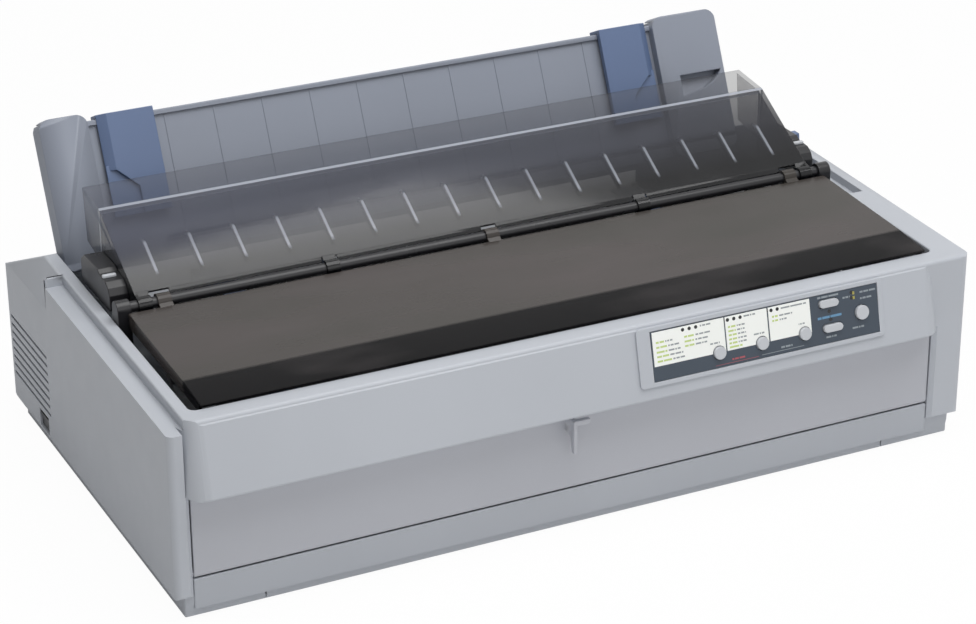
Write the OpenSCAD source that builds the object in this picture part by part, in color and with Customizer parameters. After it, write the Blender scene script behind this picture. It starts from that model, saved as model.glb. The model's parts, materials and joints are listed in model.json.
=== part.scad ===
// Wide-carriage dot matrix printer with a hinged cover, a leaning paper guide and a push tractor.
// Millimetres, +X to the right, +Y to the rear, +Z up, floor at Z = 0.

/* [Case] */
// Width over the side panels
case_w = 616; // [580:1:680]
// Depth of the side panels
case_d = 348; // [340:1:380]
// Height of the front edge of the top
rim_front_h = 147; // [144:1:150]
// Rise of the top from its front edge to its rear crest
rim_rise = 7; // [4:0.5:9]
// Drop from the front edge of the top to its rearmost edge
rear_drop = 22; // [14:1:30]
// Depth of the rear slope, from the crest to the rear wall
rear_slope_d = 65; // [56:1:74]
// Height of the lower edge of the side panels
panel_bottom = 19; // [14:1:24]
// Wall thickness of the mouldings
wall = 2.8; // [2:0.1:3.4]
// Radius of the rounded vertical corners
corner_r = 5; // [3:0.5:10]
// Height of the front fascia along its face
fascia_h = 54.5; // [50:0.5:60]
// Lean of the fascia from the vertical in degrees
fascia_lean = 14; // [8:1:18]
// Depth of the recess below the fascia
recess_d = 3; // [2:0.5:6]
// Width of the left shoulder step
shoulder_w = 13; // [10:0.5:14]
// Depth of the left shoulder step
shoulder_drop = 7.5; // [5:0.5:10]
// Height of the lean-in on the rear top corners
corner_lean = 26; // [20:1:30]
// Width of the columns beside the front cover
column_w = 13; // [12.5:0.5:20]
// Width of the right front column
column_r_w = 27; // [24:0.5:30]
// Width of the columns at their front face
column_face = 10; // [8:0.5:12]
// Inset of the base skirt from the side panels
skirt_inset = 7; // [5:0.5:10]
// Height of the base skirt's front step
skirt_h = 9; // [7:0.5:12]
// Height of the seam between the front cover and the base
seam_h = 31; // [28:1:36]
// Height of the rubber feet
foot_h = 2.5; // [2:0.5:5]
// Radius of the rubber feet
foot_r = 10; // [7:0.5:14]
// Depth of the paper shelf behind the case
shelf_d = 44; // [30:1:60]

/* [Opening] */
// Width of the rim beside the top opening
side_rim = 22; // [20:1:26]
// Depth of the front rim, from the fascia to the opening
front_rim = 16; // [13:1:20]
// Depth of the rear rim, from the opening to the rear wall
rear_rim = 40; // [34:1:46]
// Depth of the lip that hangs down round the opening
lip_h = 22; // [16:1:26]
// Width of the pocket on the right of the opening
pocket_w = 14; // [12:0.5:15]
// Length of the pocket
pocket_l = 104; // [80:1:120]
// Depth of the pocket below the rim
pocket_d = 6; // [4:0.5:8]
// Front end of the pocket, from the middle of the case
pocket_y = -44; // [-52:1:-36]

/* [Covers] */
// Thickness of the smoked covers
cover_t = 2.2; // [1.8:0.1:2.8]
// Gap on each side of the printer cover in the opening
cover_gap = 7; // [5:0.5:9]
// Radius of the hinge rod
rod_r = 4; // [3:0.25:5]
// Distance of the hinge rod in front of the case centre
rod_back = -15; // [-20:1:-8]
// Height of the hinge rod above the front edge of the top
rod_rise = 13; // [11:0.5:17]
// Height of the printer cover's front bend above the front edge of the top
bend_rise = 6.5; // [5:0.5:8]
// Depth of the printer cover's bent front lip
lip_d = 32; // [24:1:36]
// Distance from the rod to the bend of the rear flap
flap_run = 71; // [60:1:78]
// Rise from the rod to the bend of the rear flap
flap_rise = 45; // [36:1:52]
// Depth of the rear flap's top strip
flap_top = 35; // [24:1:38]
// Number of ribs on the rear flap
flap_ribs = 14; // [6:1:20]
// Width of the front cover's finger tab
tab_w = 3; // [2:0.5:5]

/* [Paper guide] */
// Length of the paper guide above its pivot
guide_len = 106; // [90:1:120]
// Lean of the paper guide from the vertical in degrees
guide_lean = 25; // [20:1:30]
// Thickness of the paper guide's wings
guide_t = 18; // [14:1:20]
// Width of the left wing
wing_l = 37; // [28:1:44]
// Width of the right wing
wing_r = 57; // [46:1:64]
// Width of an edge guide
edge_w = 43; // [38:1:46]
// Length of an edge guide blade
edge_len = 76; // [64:1:84]

/* [Control panel] */
// Distance from the label plate to the right side panel
plate_inset = 82; // [70:1:92]
// Width of the label plate
plate_w = 184; // [180:1:196]
// Height of the label plate
plate_h = 35.4; // [34:0.2:38]
// Radius of the small round buttons
key_r = 4.6; // [3.8:0.1:5]
// Radius of the pause button
pause_r = 5.2; // [4.4:0.1:5.6]
// Length of the long buttons
pill_l = 15.5; // [13:0.5:17]
// Height of the long buttons
pill_h = 5.5; // [5:0.25:6.5]
// Height of a button above the plate
key_rise = 2.2; // [1.8:0.1:3]

/* [Mechanism] */
// Gap between the top opening and each side frame
frame_gap = 24; // [22:1:28]
// Thickness of the steel side frames
frame_t = 1.6; // [1.2:0.1:2]
// Radius of the platen roller
platen_r = 17; // [15:0.5:18]
// Radius of the platen shaft
shaft_r = 5; // [4:0.25:6]
// Depth of the platen axis below the front edge of the top
platen_drop = 43; // [41:0.5:45]
// Distance of the platen axis behind the case centre
platen_y = 20; // [16:1:24]
// Radius of the paper feed knob
knob_r = 17; // [14:0.5:18]
// Distance the knob stands out of the case
knob_out = 23; // [18:1:28]
// Gear module
gear_m = 1; // [0.9:0.05:1.05]
// Teeth on the platen gear
platen_teeth = 60; // [60:12:60]
// Radius of the carriage guide shaft
guide_shaft_r = 6; // [5:0.25:7]
// Width of the print head carriage
carriage_w = 64; // [54:1:74]
// Half of the carriage travel
carriage_travel = 200; // [150:5:205]
// Width of a tractor
tractor_w = 24; // [20:1:28]
// Side of the square tractor drive shaft
square_side = 8; // [7:0.25:9]

/* [Fits] */
// Radial running clearance of a shaft in its bore
run_fit = 0.05; // [0.02:0.01:0.08]
// Clearance between separate mouldings
gap = 0.5; // [0.35:0.05:0.8]

/* [Hidden] */
$fn = 48;
eps = 0.01;
case_side = case_w / 2;
open_w = case_w - 2 * side_rim;
rim_rear_h = rim_front_h + rim_rise;
rear_edge_h = rim_front_h - rear_drop;
fascia_z = rim_front_h - fascia_h * cos(fascia_lean);
fascia_run = fascia_h * sin(fascia_lean);
rod_z = rim_front_h + rod_rise;
bend_z = rim_front_h + bend_rise;
platen_z = rim_front_h - platen_drop;
plate_x = case_side - plate_inset - plate_w;
plate_end = case_side - plate_inset;
y_front = -case_d / 2;
y_rear = case_d / 2;
y_crest = y_rear - rear_slope_d;
y_recess = y_front + recess_d;
y_shelf = y_rear + shelf_d;
bezel_t = 1.6;
x_knob = case_side + knob_out;
datum_x = (case_side - x_knob) / 2;
datum_y = -(y_front - fascia_run + y_shelf) / 2;

open_side = open_w / 2;
y_open_front = y_front + front_rim;
y_open_rear = y_rear - rear_rim;
column_in = case_side - column_w;
column_r = case_side - column_r_w;
column_lip = case_side - column_face;
cover_side = open_side - cover_gap;

color_case = [0.76, 0.77, 0.79];
color_base = [0.68, 0.69, 0.71];
color_smoke = [0.30, 0.29, 0.30, 0.85];
color_flap = [0.42, 0.42, 0.47, 0.6];
color_blue = [0.46, 0.54, 0.68];
color_guide = [0.64, 0.66, 0.69];
color_black = [0.12, 0.12, 0.13];
color_steel = [0.72, 0.73, 0.75];
color_zinc = [0.62, 0.63, 0.64];
color_board = [0.10, 0.36, 0.22];
color_plate = [0.29, 0.34, 0.40];
color_key = [0.74, 0.75, 0.77];

function rim_z(y) = rim_front_h
    + (rim_rear_h - rim_front_h) * (y - y_front) / (y_crest - y_front);

// Moves every piece so that the whole printer is centred over the origin.
module datum() translate([datum_x, datum_y, 0]) children();

// Extrudes a side view, drawn as depth and height, from one side station to another.
module along_x(x0, x1) translate([x0, 0, 0]) rotate([90, 0, 90])
    linear_extrude(height = x1 - x0) children();

// Extrudes a front view, drawn as width and height, from one depth to another.
module along_y(y0, y1) translate([0, y1, 0]) rotate([90, 0, 0])
    linear_extrude(height = y1 - y0) children();

module box(x0, x1, y0, y1, z0, z1) translate([x0, y0, z0]) cube([x1 - x0, y1 - y0, z1 - z0]);

module bar_x(x0, x1, y, z, r) translate([x0, y, z]) rotate([0, 90, 0]) cylinder(h = x1 - x0, r = r);

module bar_y(x, y0, y1, z, r) translate([x, y1, z]) rotate([90, 0, 0]) cylinder(h = y1 - y0, r = r);

module rounded(w, h, r) offset(r = r, $fn = 24) square([w - 2 * r, h - 2 * r], center = true);

// Leans the fascia and its control panel about the front edge of the top.
module fascia_frame() translate([0, y_front, rim_front_h]) rotate([-fascia_lean, 0, 0])
    translate([0, -y_front, -rim_front_h]) children();

module both_sides() {
    children();
    mirror([1, 0, 0]) children();
}

// ---------------------------------------------------------------- Case mouldings

skirt_side = case_side - skirt_inset;
skirt_front = y_front + skirt_inset - 2;
skirt_rear = y_rear - skirt_inset;
tray_h = panel_bottom + 22;
tray_floor = foot_h + wall;
boss_h = 7;
frame_floor = tray_floor + boss_h;

// The base tray: skirt, front strip below the cover, floor, bosses and the corner seams.
module lower_case() datum() color(color_base) {
    tray();
    for (p = boss_places) translate([p[0], p[1], tray_floor - eps]) difference() {
        cylinder(h = boss_h + eps, r = 5);
        translate([0, 0, 1]) cylinder(h = boss_h + 1, r = screw_r);
    }
    for (x = [board_x0 + 6, skirt_side - 60]) for (y = [supply_y0 + 3, supply_y1 - 3])
        translate([x, y, tray_floor - eps]) cylinder(h = board_z - tray_floor + eps, r = 3);
}

module tray() difference() {
    union() {
        along_x(-skirt_side, skirt_side) polygon([[skirt_front, foot_h], [skirt_front, skirt_h],
            [y_recess + 1, skirt_h + 4], [y_recess + 1, panel_bottom],
            [skirt_rear, panel_bottom], [skirt_rear, foot_h]]);
        box(-column_in + gap, column_r - gap, y_recess, skirt_rear, skirt_h, seam_h);
        both_sides() box(column_lip - 2, skirt_side, skirt_front, y_recess + 4, foot_h,
            panel_bottom);
        box(-skirt_side, skirt_side, y_recess + wall + 8, skirt_rear, foot_h, tray_h);
    }
    box(-skirt_side + wall, skirt_side - wall, y_recess + wall + 8 + wall, skirt_rear - wall,
        tray_floor, tray_h + 1);
    box(-column_in + 2 * wall, column_r - 2 * wall, y_recess + wall, y_recess + 20,
        tray_floor, tray_h + 1);
    both_sides() box(column_in - 52, column_in - 51, skirt_front - 1, skirt_front + 1,
        foot_h - 1, skirt_h + 1);
    for (i = [0:11]) box(-110 + 20 * i, -100 + 20 * i, 60, 63, foot_h - 1, tray_floor + 1);
    // A notch for the power inlet and one for the interface ports in the rear wall.
    box(inlet_x - inlet_w / 2 - gap, inlet_x + inlet_w / 2 + gap, skirt_rear - wall - 1,
        skirt_rear + 1, inlet_z - inlet_h / 2 - gap, tray_h + 1);
    box(port_x - port_w / 2 - gap, port_x + port_w / 2 + gap, skirt_rear - wall - 1,
        skirt_rear + 1, port_z - port_h / 2 - gap, tray_h + 1);
    // The rocker switch passes through the left wall.
    box(-skirt_side - 1, -skirt_side + wall + 1, rocker_y - rocker_l / 2 - 5,
        rocker_y + rocker_l / 2 + 5, rocker_z - rocker_h / 2 - 2 * gap, tray_h + 1);
}

foot_x = skirt_side - 34;
foot_y_front = skirt_front + 26;
foot_y_rear = skirt_rear - 26;

// Four corner feet and one below the middle of the front edge.
module rubber_feet() datum() color(color_black) for (p = [[-foot_x, foot_y_front],
        [foot_x, foot_y_front], [-foot_x, foot_y_rear], [foot_x, foot_y_rear],
        [0, foot_y_front]]) translate([p[0], p[1], 0]) rotate_extrude() polygon([[0, 0],
        [foot_r - 1, 0], [foot_r, foot_h / 2], [foot_r, foot_h], [0, foot_h]]);

vent_pitch = 6.6;
vent_count = 8;
vent_h = 2.4;
vent_y0 = y_rear - 92;
vent_y1 = y_rear - 8;
vent_z = panel_bottom + 20;
shoulder_rear = y_crest - 37;
rocker_y = y_crest - 10;
rocker_z = panel_bottom + 9;
rocker_l = 20;
rocker_h = 13;
rocker_x = -case_side + 6.3;
rocker_pin = 1.5;
rocker_tilt = 7;
opening_r = 5;
left_fillet = 16;
right_fillet = 14;
fascia_end = column_r - 1;
fascia_low = rim_front_h - fascia_h;
fascia_top = 3.4;
crown = 0.05;
y_far = y_front - fascia_run - 1;

module case_outline() offset(r = 3, $fn = 24) offset(delta = -3) polygon([
    [y_front, panel_bottom], [y_front, rim_front_h], [y_crest, rim_rear_h],
    [y_rear, rear_edge_h], [y_rear, panel_bottom]]);

module case_cavity() polygon([[y_recess + wall, panel_bottom - 1],
    [y_recess + wall, fascia_z + wall], [y_front + wall, fascia_z + wall],
    [y_front + wall, rim_front_h - wall], [y_crest, rim_rear_h - wall],
    [y_rear - wall, rear_edge_h - wall], [y_rear - wall, panel_bottom - 1]]);

module opening_plan(grow) translate([0, (y_open_front + y_open_rear) / 2])
    offset(r = grow, $fn = 24) rounded(open_w, y_open_rear - y_open_front, opening_r);

// Everything above the fascia's lower edge.
module above_fascia() box(-case_side, case_side, y_far - 10, y_rear, fascia_z, rim_rear_h);

// The leaning fascia in front of the housing, with a rounded right end.
module fascia_body() difference() {
    along_x(-column_lip, fascia_end) polygon([
        [y_front - fascia_top * tan(fascia_lean), rim_front_h - fascia_top],
        [y_front + wall / 2, rim_front_h - 1.2], [y_front + wall / 2, fascia_z - 10],
        [y_front - (fascia_h * cos(fascia_lean) + 10) * tan(fascia_lean), fascia_z - 10]]);
    fascia_frame() translate([fascia_end - right_fillet, y_front, fascia_low - 20])
        linear_extrude(height = fascia_h + 30) difference() {
        translate([0, -1]) square([right_fillet + 1, right_fillet + 0.9]);
        translate([0, right_fillet - crown]) circle(r = right_fillet);
    }
}

// The hollow behind the leaning face, open to the inside of the housing.
module fascia_hollow() intersection() {
    fascia_frame() box(-column_lip + left_fillet + wall, fascia_end - right_fillet,
        y_front + wall, y_front + 20, fascia_low - 20, rim_front_h - 2 * wall);
    translate([0, 0, wall]) above_fascia();
}

// The region from the rim down by one depth, used for shoulders, lips and corner blocks.
module rim_band(top, bottom) polygon([[y_front - 1, rim_front_h - top],
    [y_crest, rim_rear_h - top], [y_rear + 1, rear_edge_h - top], [y_rear + 1, rear_edge_h - bottom],
    [y_crest, rim_rear_h - bottom], [y_front - 1, rim_front_h - bottom]]);

module rear_lean() along_y(shoulder_rear + 2, y_rear + 1) polygon([
    [case_side + 1, rim_rear_h - corner_lean], [case_side + 1, rim_rear_h + 2],
    [case_side - shoulder_w, rim_rear_h + 2], [case_side, rim_rear_h - corner_lean]]);

// The upper housing: side panels, columns, fascia, rim, left shoulder and the rear slope.
module upper_case() datum() color(color_case) difference() {
    union() {
        difference() {
            union() {
                intersection() {
                    along_x(-case_side, case_side) case_outline();
                    linear_extrude(height = rim_rear_h + 1) rounded(case_w, case_d, corner_r);
                }
                fascia_body();
            }
            along_x(-case_side + wall, case_side - wall) case_cavity();
            fascia_hollow();
        }
        // Blocks that back the shoulder, the leaning corners, the fillets and the pocket.
        intersection() {
            along_x(-case_side, case_side) case_outline();
            linear_extrude(height = rim_rear_h + 1) rounded(case_w, case_d, corner_r);
            union() {
                along_x(-case_side, -case_side + shoulder_w + wall)
                    rim_band(0, shoulder_drop + wall);
                both_sides() box(case_side - shoulder_w - wall, case_side, shoulder_rear, y_rear,
                    rim_rear_h - corner_lean - 12, rim_rear_h);
                box(-column_lip - 2, -column_lip + 0.8 * left_fillet, y_front,
                    y_front + left_fillet + 2, fascia_z, rim_front_h);
                box(open_side, case_side, pocket_y - wall, pocket_y + pocket_l + wall,
                    rim_front_h - pocket_d - wall, rim_rear_h);
                difference() {
                    linear_extrude(height = rim_rear_h + 1) opening_plan(wall);
                    translate([0, 0, -1]) linear_extrude(height = rim_rear_h + 3)
                        opening_plan(0);
                    along_x(-case_side, case_side) polygon([[y_front - 1, 0],
                        [y_front - 1, rim_front_h - lip_h], [y_crest, rim_rear_h - lip_h],
                        [y_rear + 1, rear_edge_h - lip_h], [y_rear + 1, 0]]);
                }
            }
        }
        // Raised bezel of the control panel, and the posts behind it for the circuit board.
        fascia_frame() {
            along_y(y_front - bezel_t, y_front + 1) translate([plate_x + plate_w / 2 - 3.5,
                plate_z + plate_h / 2]) rounded(plate_w + 15, plate_h + 7, 3);
            for (x = [plate_x + 6, plate_x + plate_w - 6])
                for (z = [plate_z - 1, plate_z + plate_h - 5])
                bar_y(x, y_front + wall - eps, board_y, z, 2.5);
        }
        // Ears below the pocket floor for the pin of the paper release lever.
        for (s = [-1, 1]) box(lever_x + s * (lever_w / 2 + 2.2) - 1.2,
            lever_x + s * (lever_w / 2 + 2.2) + 1.2, lever_y - 6, lever_y + 6, lever_z - 6,
            rim_front_h - pocket_d);
        // Blocks behind the columns for the front cover's pins, and ears for the rocker's pins.
        for (x = [-column_in - pin_l - 2, column_r]) box(x, x + pin_l + 2, y_recess,
            cover_pin_y + barrel_r + 1.5, cover_pin_z - barrel_r - 2, cover_pin_z + barrel_r + 2);
        for (s = [-1, 1]) box(-case_side + wall - eps, rocker_x + 3,
            rocker_y + s * (rocker_l / 2 + 2) - 1.2, rocker_y + s * (rocker_l / 2 + 2) + 1.2,
            rocker_z - 4, rocker_z + 4);
    }
    // Recess and aperture of the front cover, between the two columns.
    translate([0, 0, panel_bottom - 1]) linear_extrude(height = fascia_z - panel_bottom + 1)
        polygon([[-column_lip, y_far - 10], [column_r + recess_d, y_far - 10],
            [column_r + recess_d, y_front - eps], [column_r, y_recess],
            [column_r, y_recess + wall + 1],
            [-column_in, y_recess + wall + 1], [-column_in, y_recess],
            [-column_lip, y_front - eps]]);
    // Top opening.
    translate([0, 0, rim_front_h - lip_h - 30]) linear_extrude(height = 90) opening_plan(0);
    // Left shoulder step, which runs from the column to the rear corner.
    along_x(-case_side - 1, -case_side + shoulder_w) polygon([
        [y_far, rim_z(y_far) - shoulder_drop], [shoulder_rear, rim_z(shoulder_rear) - shoulder_drop],
        [shoulder_rear, rim_rear_h + 1], [y_far, rim_rear_h + 1]]);
    both_sides() rear_lean();
    // Rounded left end of the fascia, beside the column.
    intersection() {
        above_fascia();
        fascia_frame() translate([0, 0, fascia_low - 10]) linear_extrude(height = fascia_h + 30)
            difference() {
            translate([-column_lip, y_front - 1]) square([left_fillet, left_fillet + 0.5]);
            translate([-column_lip + left_fillet, y_front + left_fillet - crown])
                circle(r = left_fillet);
        }
    }
    // Pocket beside the opening, for the paper release lever.
    along_x(open_side - 1, open_side + pocket_w) polygon([
        [pocket_y, rim_z(pocket_y) - pocket_d], [pocket_y, rim_rear_h + 2],
        [pocket_y + pocket_l, rim_rear_h + 2],
        [pocket_y + pocket_l, rim_z(pocket_y + pocket_l) - pocket_d]]);
    box(lever_x - lever_w / 2 - gap, lever_x + lever_w / 2 + gap, lever_y - 20, lever_y + 22,
        rim_front_h - pocket_d - wall - 2, rim_rear_h);
    // Ventilation slots near the rear of both side panels.
    both_sides() for (i = [0:vent_count - 1]) along_x(case_side - wall - 1, case_side + 1)
        translate([vent_y0, vent_z + vent_pitch * i]) square([vent_y1 - vent_y0, vent_h]);
    // Rocker switch cut-out on the left.
    box(-case_side - 1, -case_side + wall + 1, rocker_y - rocker_l / 2 - gap,
        rocker_y + rocker_l / 2 + gap, rocker_z - rocker_h / 2 - gap, rocker_z + rocker_h / 2 + gap);
    bar_y(rocker_x, rocker_y - rocker_l / 2 - 4, rocker_y + rocker_l / 2 + 4, rocker_z,
        rocker_pin + run_fit);
    // Hole for the knob shaft on the right.
    bar_x(case_side - wall - 1, case_side + 1, platen_y, platen_z, knob_r / 2 + 1);
    // Pin holes of the front cover and of the paper guide.
    for (x = [-column_in - pin_l, column_r - 1]) bar_x(x, x + pin_l + 1, cover_pin_y, cover_pin_z,
        pin_r + run_fit);
    both_sides() bar_x(open_side - 1, open_side + wall + 1, guide_y, guide_z, pin_r + run_fit);
    // Pin holes of the paper release lever.
    bar_x(open_side + 0.1, lever_x + lever_w, lever_y, lever_z, pin_r + run_fit);
    // Button holes and indicator holes, and the seat of the label plate.
    fascia_frame() {
        key_holes(y_front - bezel_t - 1, y_front + wall + 1, gap);
        lamp_holes(y_front - bezel_t - 1, y_front + wall + 1, lamp_r + 0.1);
        box(plate_x - gap / 2, plate_x + plate_w + gap / 2, y_front - bezel_t - 1,
            plate_y + plate_t, plate_z - gap / 2, plate_z + plate_h + gap / 2);
    }
    // Rear paper slot, power inlet and interface ports.
    box(-paper_side, paper_side, y_rear - wall - 1, y_rear + 1, slot_z, slot_z + slot_h);
    box(inlet_x - inlet_w / 2 - gap, inlet_x + inlet_w / 2 + gap, y_rear - wall - 1, y_rear + 1,
        panel_bottom - 1, inlet_z + inlet_h / 2 + gap);
    box(port_x - port_w / 2 - gap, port_x + port_w / 2 + gap, y_rear - wall - 1, y_rear + 1,
        panel_bottom - 1, port_z + port_h / 2 + gap);
}

paper_side = open_side - 61;
slot_z = platen_z - 33;
slot_h = 34;
shelf_side = paper_side + 25;
shelf_t = 2.5;
shelf_bend = 14;

// Curved shelf behind the rear paper slot, which guides fan-fold paper into the tractors.
module paper_shelf() datum() color(color_case) {
    along_x(-shelf_side, shelf_side) union() {
        translate([y_rear, slot_z - shelf_t - 1]) square([shelf_d - shelf_bend, shelf_t]);
        translate([y_shelf - shelf_bend, slot_z - 1 - shelf_bend]) intersection() {
            ring(shelf_bend, shelf_bend - shelf_t);
            square(shelf_bend + 1);
        }
    }
    for (x = [-shelf_side, -shelf_side / 2, 0, shelf_side / 2, shelf_side - 3])
        along_x(x, x + 3) polygon([[y_rear, slot_z - shelf_t - 1], [y_rear, slot_z - 24],
            [y_shelf - shelf_bend - 6, slot_z - shelf_t - 1]]);
    both_sides() box(shelf_side - eps, shelf_side + 3, y_rear, y_shelf - shelf_bend, slot_z - 10,
        slot_z + 8);
}

cover_pin_y = y_recess + 3;
cover_pin_z = seam_h + 3.6;
pin_r = 2;
pin_l = 5;
barrel_r = 3;
cover_top = fascia_z - 0.8;
cover_x = column_in - 1.2;
cover_r = column_r - 1.2;
panel_t = 2.6;

// Front cover: a plate with a hinge barrel along its lower edge, end ribs and a finger tab.
module front_cover() datum() color(color_case) {
    along_x(-cover_x, cover_r) union() {
        translate([cover_pin_y, cover_pin_z]) circle(r = barrel_r);
        translate([cover_pin_y - barrel_r, cover_pin_z]) square([panel_t, cover_top - cover_pin_z]);
        translate([cover_pin_y - barrel_r, cover_top - panel_t]) square([9, panel_t]);
    }
    for (x = [-column_in - pin_l + 1, cover_r - 1]) bar_x(x, x + pin_l + 1.2, cover_pin_y,
        cover_pin_z, pin_r);
    for (x = [-cover_x + 20, -cover_x / 2, 0, cover_x / 2, cover_r - 22]) box(x, x + 2,
        cover_pin_y - barrel_r + panel_t - eps, cover_pin_y + 3, cover_pin_z, cover_top - eps);
    along_x(tab_x, tab_x + tab_w) polygon([[y_recess + eps, fascia_z - 4],
        [y_recess - 13, fascia_z - 4], [y_recess - 13, fascia_z - 29],
        [y_recess - 9, fascia_z - 29], [y_recess - 7, fascia_z - 18],
        [y_recess + eps, fascia_z - 16]]);
    box(tab_x, tab_x + 13, y_recess - 13, y_recess - 9, fascia_z - 8, fascia_z - 4);
}
tab_x = -20;

// ---------------------------------------------------------------- Smoked covers

knuckle_r = rod_r + 1.6;
bracket_r = rod_r + 2.2;
knuckle_w = 10;
cover_rear = rod_back - knuckle_r - 2;
cover_bend_y = y_open_front + lip_d;
cover_knuckles = [-cover_side + 23, -knuckle_w / 2, cover_side - 23 - knuckle_w];
flap_side = cover_side - 9;
flap_knuckles = [-flap_side, -130, 130 - knuckle_w, flap_side - knuckle_w];

module ring(r_out, r_in) difference() {
    circle(r = r_out);
    circle(r = r_in);
}

// Front section of the smoked cover: sloping plate, bent lip, side skirts and hinge knuckles.
module printer_cover() datum() color(color_smoke) {
    along_x(-cover_side, cover_side) polygon([[cover_rear, rod_z - 1], [cover_bend_y, bend_z],
        [y_open_front - 1, rim_front_h + 2.9], [y_open_front - 1, rim_front_h + 0.9],
        [cover_bend_y + 0.5, bend_z - cover_t], [cover_rear, rod_z - 1 - cover_t]]);
    both_sides() along_x(cover_side - cover_t, cover_side) polygon([
        [cover_rear, rod_z - 1 - eps], [cover_bend_y, bend_z - eps],
        [y_open_front + 2, rim_front_h + 2], [y_open_front + 2, rim_front_h - 4],
        [cover_rear - 2, rod_z - 12]]);
    for (x = cover_knuckles) along_x(x, x + knuckle_w) difference() {
        union() {
            translate([rod_back, rod_z]) circle(r = knuckle_r);
            polygon([[cover_rear - 1, rod_z - 1 - cover_t + eps], [cover_rear - 1, rod_z - 1 - eps],
                [rod_back, rod_z + 4], [rod_back, rod_z - 6]]);
        }
        translate([rod_back, rod_z]) circle(r = rod_r + run_fit);
    }
}

// Hinge rod shared by the cover and the rear flap.
module cover_rod() datum() color(color_black)
    bar_x(-open_side + 1.5, open_side - 1.5, rod_back, rod_z, rod_r - run_fit / 2);

// Brackets on the lip of the top opening, which hold the ends of the hinge rod.
module rod_brackets() datum() color(color_black) both_sides() difference() {
    along_x(cover_side - 3, open_side) union() {
        translate([rod_back, rod_z]) circle(r = bracket_r);
        translate([rod_back - bracket_r, rim_front_h - lip_h + 8])
            square([2 * bracket_r, rod_z - rim_front_h + lip_h - 8]);
    }
    bar_x(cover_side - 4, open_side - 1, rod_back, rod_z, rod_r);
}

flap_a = [rod_back + 5, rod_z + knuckle_r + 1];
flap_b = [rod_back + flap_run, rod_z + flap_rise];
flap_c = flap_b + [flap_top, 4];
flap_angle = atan2(flap_b[1] - flap_a[1], flap_b[0] - flap_a[0]);
flap_len = norm(flap_b - flap_a);
rib_span = 2 * flap_side - 110;

// Rear section of the smoked cover: leaning panel, top strip, end plates, ribs and knuckles.
module rear_flap() datum() color(color_flap) {
    along_x(-flap_side, flap_side) polygon([flap_a, flap_b, flap_c, flap_c - [0, cover_t],
        flap_b + [0.9, -cover_t], flap_a + [cover_t * 0.55, -cover_t * 0.85]]);
    both_sides() along_x(flap_side - cover_t, flap_side) difference() {
        polygon([[rod_back - 3, rod_z - 5], [rod_back - 3, rod_z + 5], flap_a, flap_b, flap_c,
            flap_c - [4, 40], [rod_back + 70, rod_z + 3], [rod_back + 12, rod_z - 5]]);
        translate([rod_back, rod_z]) circle(r = rod_r + run_fit);
    }
    for (x = flap_knuckles) along_x(x, x + knuckle_w) difference() {
        union() {
            translate([rod_back, rod_z]) circle(r = knuckle_r);
            polygon([[rod_back - 2, rod_z], flap_a + [0, 1], flap_a + [2, 0], [rod_back + 6, rod_z]]);
        }
        translate([rod_back, rod_z]) circle(r = rod_r + run_fit);
    }
    translate([0, flap_a[0], flap_a[1]]) rotate([flap_angle, 0, 0]) {
        for (i = [0:flap_ribs - 1]) let (x = -rib_span / 2 + rib_span * i / (flap_ribs - 1))
            box(x, x + 1.6, 12, flap_len * 0.56, -cover_t - 5, -cover_t + 0.4);
        box(-rib_span / 2 - 14, rib_span / 2 + 16, flap_len * 0.56 - eps, flap_len * 0.56 + 3,
            -cover_t - 5, -cover_t + 0.4);
    }
}

ear_y = rod_back + 16;

// Curved ears outside the end plates of the rear flap, each with a stepped top.
module flap_ears() datum() color(color_black) both_sides() {
    along_x(flap_side, open_side - 2) offset(r = 2.5, $fn = 24) offset(delta = -2.5) polygon([
        [ear_y, rod_z - 9], [ear_y, rod_z + 3], [ear_y + 3, rod_z + 8], [ear_y + 8, rod_z + 11],
        [ear_y + 24, rod_z + 12], [ear_y + 24, rod_z - 9]]);
    along_x(flap_side, open_side - 2) offset(r = 2.5, $fn = 24) offset(delta = -2.5) polygon([
        [ear_y + 20, rod_z - 9], [ear_y + 20, rod_z + 12], [ear_y + 24, rod_z + 14.5],
        [ear_y + 52, rod_z + 14.5], [ear_y + 60, rod_z + 9], [ear_y + 60, rod_z - 9]]);
}

// ---------------------------------------------------------------- Paper guide

guide_y = y_open_rear - 12;
guide_z = rim_rear_h - 17;
guide_side = open_side - 5;
guide_skin = 2.5;
guide_front = 2 - guide_t;
sheet_front = guide_front + 8;
sheet_x0 = -guide_side + wing_l;
sheet_x1 = guide_side - wing_r;
sheet_top = guide_len - 5.5;
edge_left_x = sheet_x0 + 7.5;
edge_right_x = sheet_x1 - 4 - edge_w;
notch_x = sheet_x1 + 17;
notch_z = guide_len - 49;
notch_d = 9;
blade_t = 1.8;
blade_top = guide_len - 2.5;
blade_low = blade_top - edge_len;
blade_cut = 22;
flange_w = 7;
flange_d = sheet_front - 2.5 - gap - guide_front;
hook_d = sheet_front + 9 - guide_front;

module guide_frame() translate([0, guide_y, guide_z]) rotate([-guide_lean, 0, 0]) children();

module wing(x0, x1) difference() {
    along_y(guide_front, 2) translate([(x0 + x1) / 2, guide_len / 2 - 3])
        rounded(x1 - x0, guide_len + 6, 9);
    box(x0 + guide_skin, x1 - guide_skin, guide_front + guide_skin, 3, -6 + guide_skin,
        guide_len - guide_skin);
}

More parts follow.
